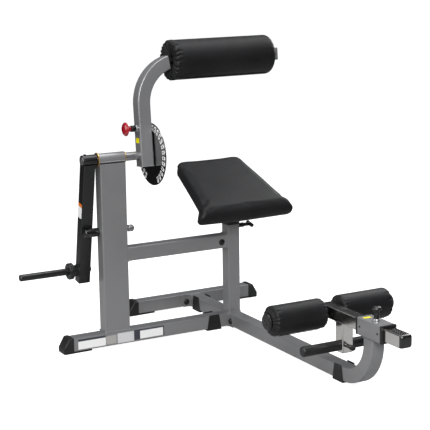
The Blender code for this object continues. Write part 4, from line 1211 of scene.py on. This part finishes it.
def seam(node, centre, radius, start, end):
    """Lapped seam with stitches along the underside of a roller."""
    angle = math.radians(-115)
    out = Vector((0, math.cos(angle), math.sin(angle)))
    across = X.cross(out)
    middle_point = Vector(((start + end) / 2, centre.y, centre.z)) + out * (radius + 0.0001)
    shape = block_shape(middle_point, X, across, end - start, 0.010, 0.0012, 0.002)
    lap = finish_mesh(shape, node + "_seam", MATERIALS["black_vinyl"], BODY_OF[node])
    stitches = bmesh.new()
    pitch = 0.0042
    count = int((end - start - 0.006) / pitch)
    for index in range(count):
        spot = Vector((start + 0.004 + index * pitch, centre.y, centre.z)) + out * (radius + 0.0008)
        spot += across * 0.0028
        stitch = [(-0.0014, 0.0), (-0.0011, 0.0004), (0.0011, 0.0004), (0.0014, 0.0)]
        add_shape(stitches, lathe_shape(stitch, spot, X, 8, corner=0.0001))
    finish_mesh(stitches, node + "_stitches", MATERIALS["black_plastic"], BODY_OF[node])


def flat_top(node):
    """Centre, along, across and outward directions of a slab-like node's broad face."""
    mesh = NODES[node].data
    total = {}
    for polygon in mesh.polygons:
        key = tuple(round(value, 2) for value in polygon.normal)
        total[key] = total.get(key, 0) + polygon.area
    broad = [key for key in total if key[2] > 0.5]
    best = max(broad, key=lambda key: total[key])
    normals = [polygon for polygon in mesh.polygons if tuple(round(v, 2) for v in polygon.normal) == best]
    out = sum((polygon.normal * polygon.area for polygon in normals), Vector()).normalized()
    centre = sum((polygon.center * polygon.area for polygon in normals), Vector())
    return centre / sum(polygon.area for polygon in normals), out


def seat_half_width(along, up):
    """Half width of the seat: flared forward, rounded rear corners, ends of the front roll standing proud."""
    flare = min(1.0, max(0.0, (along - SEAT_FLAT) / (SEAT_LEN - SEAT_FLAT)))
    half = SEAT_REAR_HALF + SEAT_TAPER * along + 0.008 * flare * (2 - flare)
    if along < SEAT_CORNER:
        half -= SEAT_CORNER - math.sqrt(SEAT_CORNER ** 2 - (SEAT_CORNER - max(along, 0.0)) ** 2)
    front = min(1.0, max(0.0, (along - 0.318) / 0.012))
    below = min(1.0, max(0.0, (-0.010 - up) / 0.012))
    notch = math.exp(-((along - 0.308) / 0.009) ** 2)
    return half + 0.009 * front * below - 0.006 * notch


def seat_outline():
    """Side view of the seat from its top rear edge: rear face, crowned top, front roll, underside."""
    points = [(0.004, -0.0435), (0.0, -0.038), (0.0, -0.028), (0.0, -0.018), (0.0, -0.008), (0.002, -0.0030),
              (0.007, 0.0010)]
    steps = 22
    for step in range(steps + 1):
        along = 0.014 + (SEAT_LEN - SEAT_ROLL - 0.020) * step / steps
        points.append((along, SEAT_LIFT * (1 - step / steps) + 0.0035 * math.sin(math.pi * step / steps)))
    steps = 20
    for step in range(1, steps + 1):
        angle = math.pi / 2 - step * math.pi * 1.14 / steps
        points.append((SEAT_LEN - SEAT_ROLL + SEAT_ROLL * math.cos(angle),
                       -SEAT_ROLL + SEAT_ROLL * math.sin(angle)))
    steps = 14
    for step in range(steps):
        points.append((0.298 - 0.286 * step / steps, -SEAT_THICK))
    return points


def seat_shape(place):
    """Loft of the side view across the seat, its edges rounded over at both sides."""
    outline = [Vector(point) for point in seat_outline()]
    count = len(outline)
    normals = []
    for index in range(count):
        run = outline[(index + 1) % count] - outline[index - 1]
        normals.append(Vector((-run.y, run.x)).normalized())
    rounding, round_steps, flat_steps = 0.018, 6, 10
    stations = []
    for step in range(round_steps):
        inward = rounding * (1 - math.cos(math.pi / 2 * step / round_steps))
        stations.append((inward, rounding * (1 - math.sin(math.pi / 2 * step / round_steps))))
    shape = bmesh.new()
    rings = []
    for side in (-1, 1):
        rows = []
        for inward, inset in stations:
            ring = []
            for point, normal in zip(outline, normals):
                spot = point - normal * inset
                x = side * (seat_half_width(point.x, point.y) - inward)
                ring.append(shape.verts.new(place(x, spot)))
            rows.append(ring)
        rings.append(rows)
    middle_rows = []
    for step in range(flat_steps + 1):
        share = -1 + 2 * step / flat_steps
        ring = []
        for point in outline:
            x = share * (seat_half_width(point.x, point.y) - rounding)
            ring.append(shape.verts.new(place(x, point)))
        middle_rows.append(ring)
    rows = rings[0] + middle_rows + rings[1][::-1]
    join_rings(shape, zip(rows, rows[1:]))
    shape.faces.new(rows[0])
    shape.faces.new(rows[-1])
    return shape


def seat_cover():
    """Contoured seat: foam under stretched vinyl, flat only on its board."""
    board_top, out = flat_top("seat_board")
    front = out.cross(X)
    front = front if front.y < 0 else -front
    top = board_top + out * (SEAT_THICK + GAP)
    verts = [vert.co for vert in NODES["seat_pad"].data.vertices]
    rear = min((vert - top).dot(front) for vert in verts if (vert - top).dot(out) > -0.03)
    origin = Vector((POST.x, top.y, top.z)) + front * rear

    def place(x, point):
        """World place of a side-view point at a distance from the seat's middle."""
        return origin + X * x + front * point.x + out * point.y

    piece = finish_mesh(seat_shape(place), "seat_cover", MATERIALS["black_vinyl"], "seat_carriage")
    remesh = piece.modifiers.new("Voxels", "REMESH")
    remesh.mode = "VOXEL"
    remesh.voxel_size = 0.005
    apply_modifiers(piece)
    mesh = piece.data
    relax(mesh, 3)
    held = {vert.index: 1.0 for vert in mesh.vertices
            if (vert.co - board_top).dot(out) < 0.0035 and vert.co.y > POST.y - 0.10}
    simulate(piece, held, 0.0035)
    relax(mesh, 2)
    for vert in mesh.vertices:
        height = (vert.co - board_top).dot(out)
        on_board = vert.co.y > POST.y - 0.10
        if on_board and height < 0.0004:
            vert.co += out * (0.0004 - height)
    mesh.shade_smooth()
    mesh.materials.clear()
    mesh.materials.append(MATERIALS["black_vinyl"])
    smooth_surface(piece)
    stand_for(piece, "seat_pad")


def relax(mesh, times):
    """Even out voxel steps."""
    shape = bmesh.new()
    shape.from_mesh(mesh)
    for _ in range(times):
        bmesh.ops.smooth_vert(shape, verts=shape.verts, factor=0.5,
                              use_axis_x=True, use_axis_y=True, use_axis_z=True)
    shape.to_mesh(mesh)
    shape.free()


def seat_underside():
    """Staples round the backing cloth, and the bracket's bolts."""
    top, out = flat_top("seat_board")
    along = out.cross(X)
    under = -out
    thickness = 0.012
    base = top + under * (thickness + 0.0003)
    staples = bmesh.new()
    half_length, rear_half, front_half = 0.128, 0.119, 0.150
    inset = 0.010
    for side in (-1, 1):
        for step in range(11):
            t = step / 10
            reach = -half_length + inset + (2 * half_length - 2 * inset) * t
            half = rear_half + (front_half - rear_half) * (1 - t) - inset
            spot = base + along * reach + X * (side * half)
            add_shape(staples, block_shape(spot, along, X, 0.010, 0.0011, 0.0008, 0.0003, 1))
    for end in (-1, 1):
        half = (front_half if end < 0 else rear_half) - 0.02
        for step in range(9):
            spot = base + along * (end * (half_length - inset)) + X * (-half + 2 * half * step / 8)
            add_shape(staples, block_shape(spot, X, along, 0.010, 0.0011, 0.0008, 0.0003, 1))
    finish_mesh(staples, "seat_staples", STAPLE, "seat_carriage")
    plate, plate_out = flat_top("seat_bracket")
    face = plate - plate_out * 0.005
    for side in (-1, 1):
        for end in (-1, 1):
            spot = face + X * (side * 0.058) + along * (end * 0.075)
            head = [(0.0016, 0.0), (0.0016, 0.0028, 6), (0.0044, 0.0028, 6), (0.0044, 0.0050),
                    (0.0030, 0.0070), (0.0001, 0.0074), (0.0001, 0.0)]
            name = "seat_bolt_" + ("left" if side < 0 else "right") + ("_front" if end < 0 else "_rear")
            bolt = lathe(name, head, spot, -plate_out, ZINC, "seat_carriage", 36, corner=0.0003)


# ---------------------------------------------------------------- studio
def floor_material():
    """White sheet that stays white to the camera and throws little light back up."""
    made, tree, shader = new_material("floor")
    tree.nodes.remove(shader)
    coordinates = tree.nodes.new("ShaderNodeTexCoord")
    span = tree.nodes.new("ShaderNodeVectorMath")
    span.operation = "LENGTH"
    tree.links.new(coordinates.outputs["Object"], span.inputs[0])
    shade = remap(tree, span.outputs["Value"], 0.0, 1.0, 1.5, 2.8)
    sheet = tree.nodes.new("ShaderNodeBsdfDiffuse")
    pale, dark = (0.36, 0.36, 0.36), (0.03, 0.03, 0.03)
    tree.links.new(two_tone(tree, shade, pale, dark, 0.0, 1.0), sheet.inputs["Color"])
    seen = tree.nodes.new("ShaderNodeBsdfDiffuse")
    seen.inputs["Color"].default_value = (0.5, 0.5, 0.5, 1)
    glow = tree.nodes.new("ShaderNodeEmission")
    glow.inputs["Strength"].default_value = 0.91
    both = tree.nodes.new("ShaderNodeAddShader")
    mix = tree.nodes.new("ShaderNodeMixShader")
    rays = tree.nodes.new("ShaderNodeLightPath")
    tree.links.new(seen.outputs["BSDF"], both.inputs[0])
    tree.links.new(glow.outputs["Emission"], both.inputs[1])
    tree.links.new(rays.outputs["Is Camera Ray"], mix.inputs["Fac"])
    tree.links.new(sheet.outputs["BSDF"], mix.inputs[1])
    tree.links.new(both.outputs["Shader"], mix.inputs[2])
    tree.links.new(mix.outputs["Shader"], tree.nodes["Material Output"].inputs["Surface"])
    return made


def studio():
    """Camera, pale floor and soft light."""
    scene = bpy.context.scene
    scene.view_settings.view_transform = "Standard"
    data = bpy.data.cameras.new("camera")
    data.sensor_width = 36
    data.lens = LENS
    data.clip_end = 200
    camera = bpy.data.objects.new("camera", data)
    scene.collection.objects.link(camera)
    aim = Euler((math.radians(90 - CAMERA_PITCH), 0, math.radians(CAMERA_HEADING)), "XYZ").to_matrix()
    roll = Matrix.Rotation(math.radians(CAMERA_ROLL), 3, "Z")
    place = Vector((POST.x + CAMERA_FROM_POST[0], POST.y + CAMERA_FROM_POST[1], CAMERA_HEIGHT))
    camera.matrix_world = Matrix.Translation(place) @ (aim @ roll).to_4x4()
    scene.camera = camera

    mesh = bpy.data.meshes.new("floor")
    shape = bmesh.new()
    bmesh.ops.create_grid(shape, x_segments=1, y_segments=1, size=60)
    shape.to_mesh(mesh)
    shape.free()
    mesh.materials.append(floor_material())
    floor = bpy.data.objects.new("floor", mesh)
    floor.location = (0, 0, -0.0004)
    scene.collection.objects.link(floor)

    world = bpy.data.worlds.new("studio")
    world.use_nodes = True
    scene.world = world
    tree = world.node_tree
    coordinates = tree.nodes.new("ShaderNodeTexCoord")
    split = tree.nodes.new("ShaderNodeSeparateXYZ")
    tree.links.new(coordinates.outputs["Generated"], split.inputs["Vector"])
    sky = two_tone(tree, split.outputs["Z"], (0.03, 0.03, 0.033), (0.34, 0.35, 0.39), 0.25, 0.95)
    tree.links.new(sky, tree.nodes["Background"].inputs["Color"])

    centre = Vector(((CAD_LOW.x + CAD_HIGH.x) / 2, (CAD_LOW.y + CAD_HIGH.y) / 2, 0.5))
    for name, offset, size, power in LIGHTS:
        lamp = bpy.data.lights.new(name, "AREA")
        lamp.size = size
        lamp.energy = power
        thing = bpy.data.objects.new(name, lamp)
        thing.location = centre + Vector(offset)
        thing.rotation_euler = (centre - thing.location).to_track_quat("-Z", "Y").to_euler()
        scene.collection.objects.link(thing)


studio()
bent_nose_beam()
straight_members()
frame_welds()
frame_bolts()
pivot_parts()
stop_parts()
horn_parts()
index_disc()
pad_arm()
bar_parts()
index_pin()
foot_pin()
seat_pin()
foot_parts()
slide_cap()
sleeve_screws()
labels()
roller_cover("chest_roller", (GATHERED, PLAIN), 22, 264, 1.0)
roller_cover("foot_roller_left", (OUTER, INNER), 19, 152, 2.0)
roller_cover("foot_roller_right", (INNER, OUTER), 19, 152, 3.0)
seat_cover()
seat_underside()
for node in ("index_pin_spring", "seat_pin_spring", "foot_pin_spring"):
    NODES[node].data.materials.clear()
    NODES[node].data.materials.append(MATERIALS["bright_steel"])
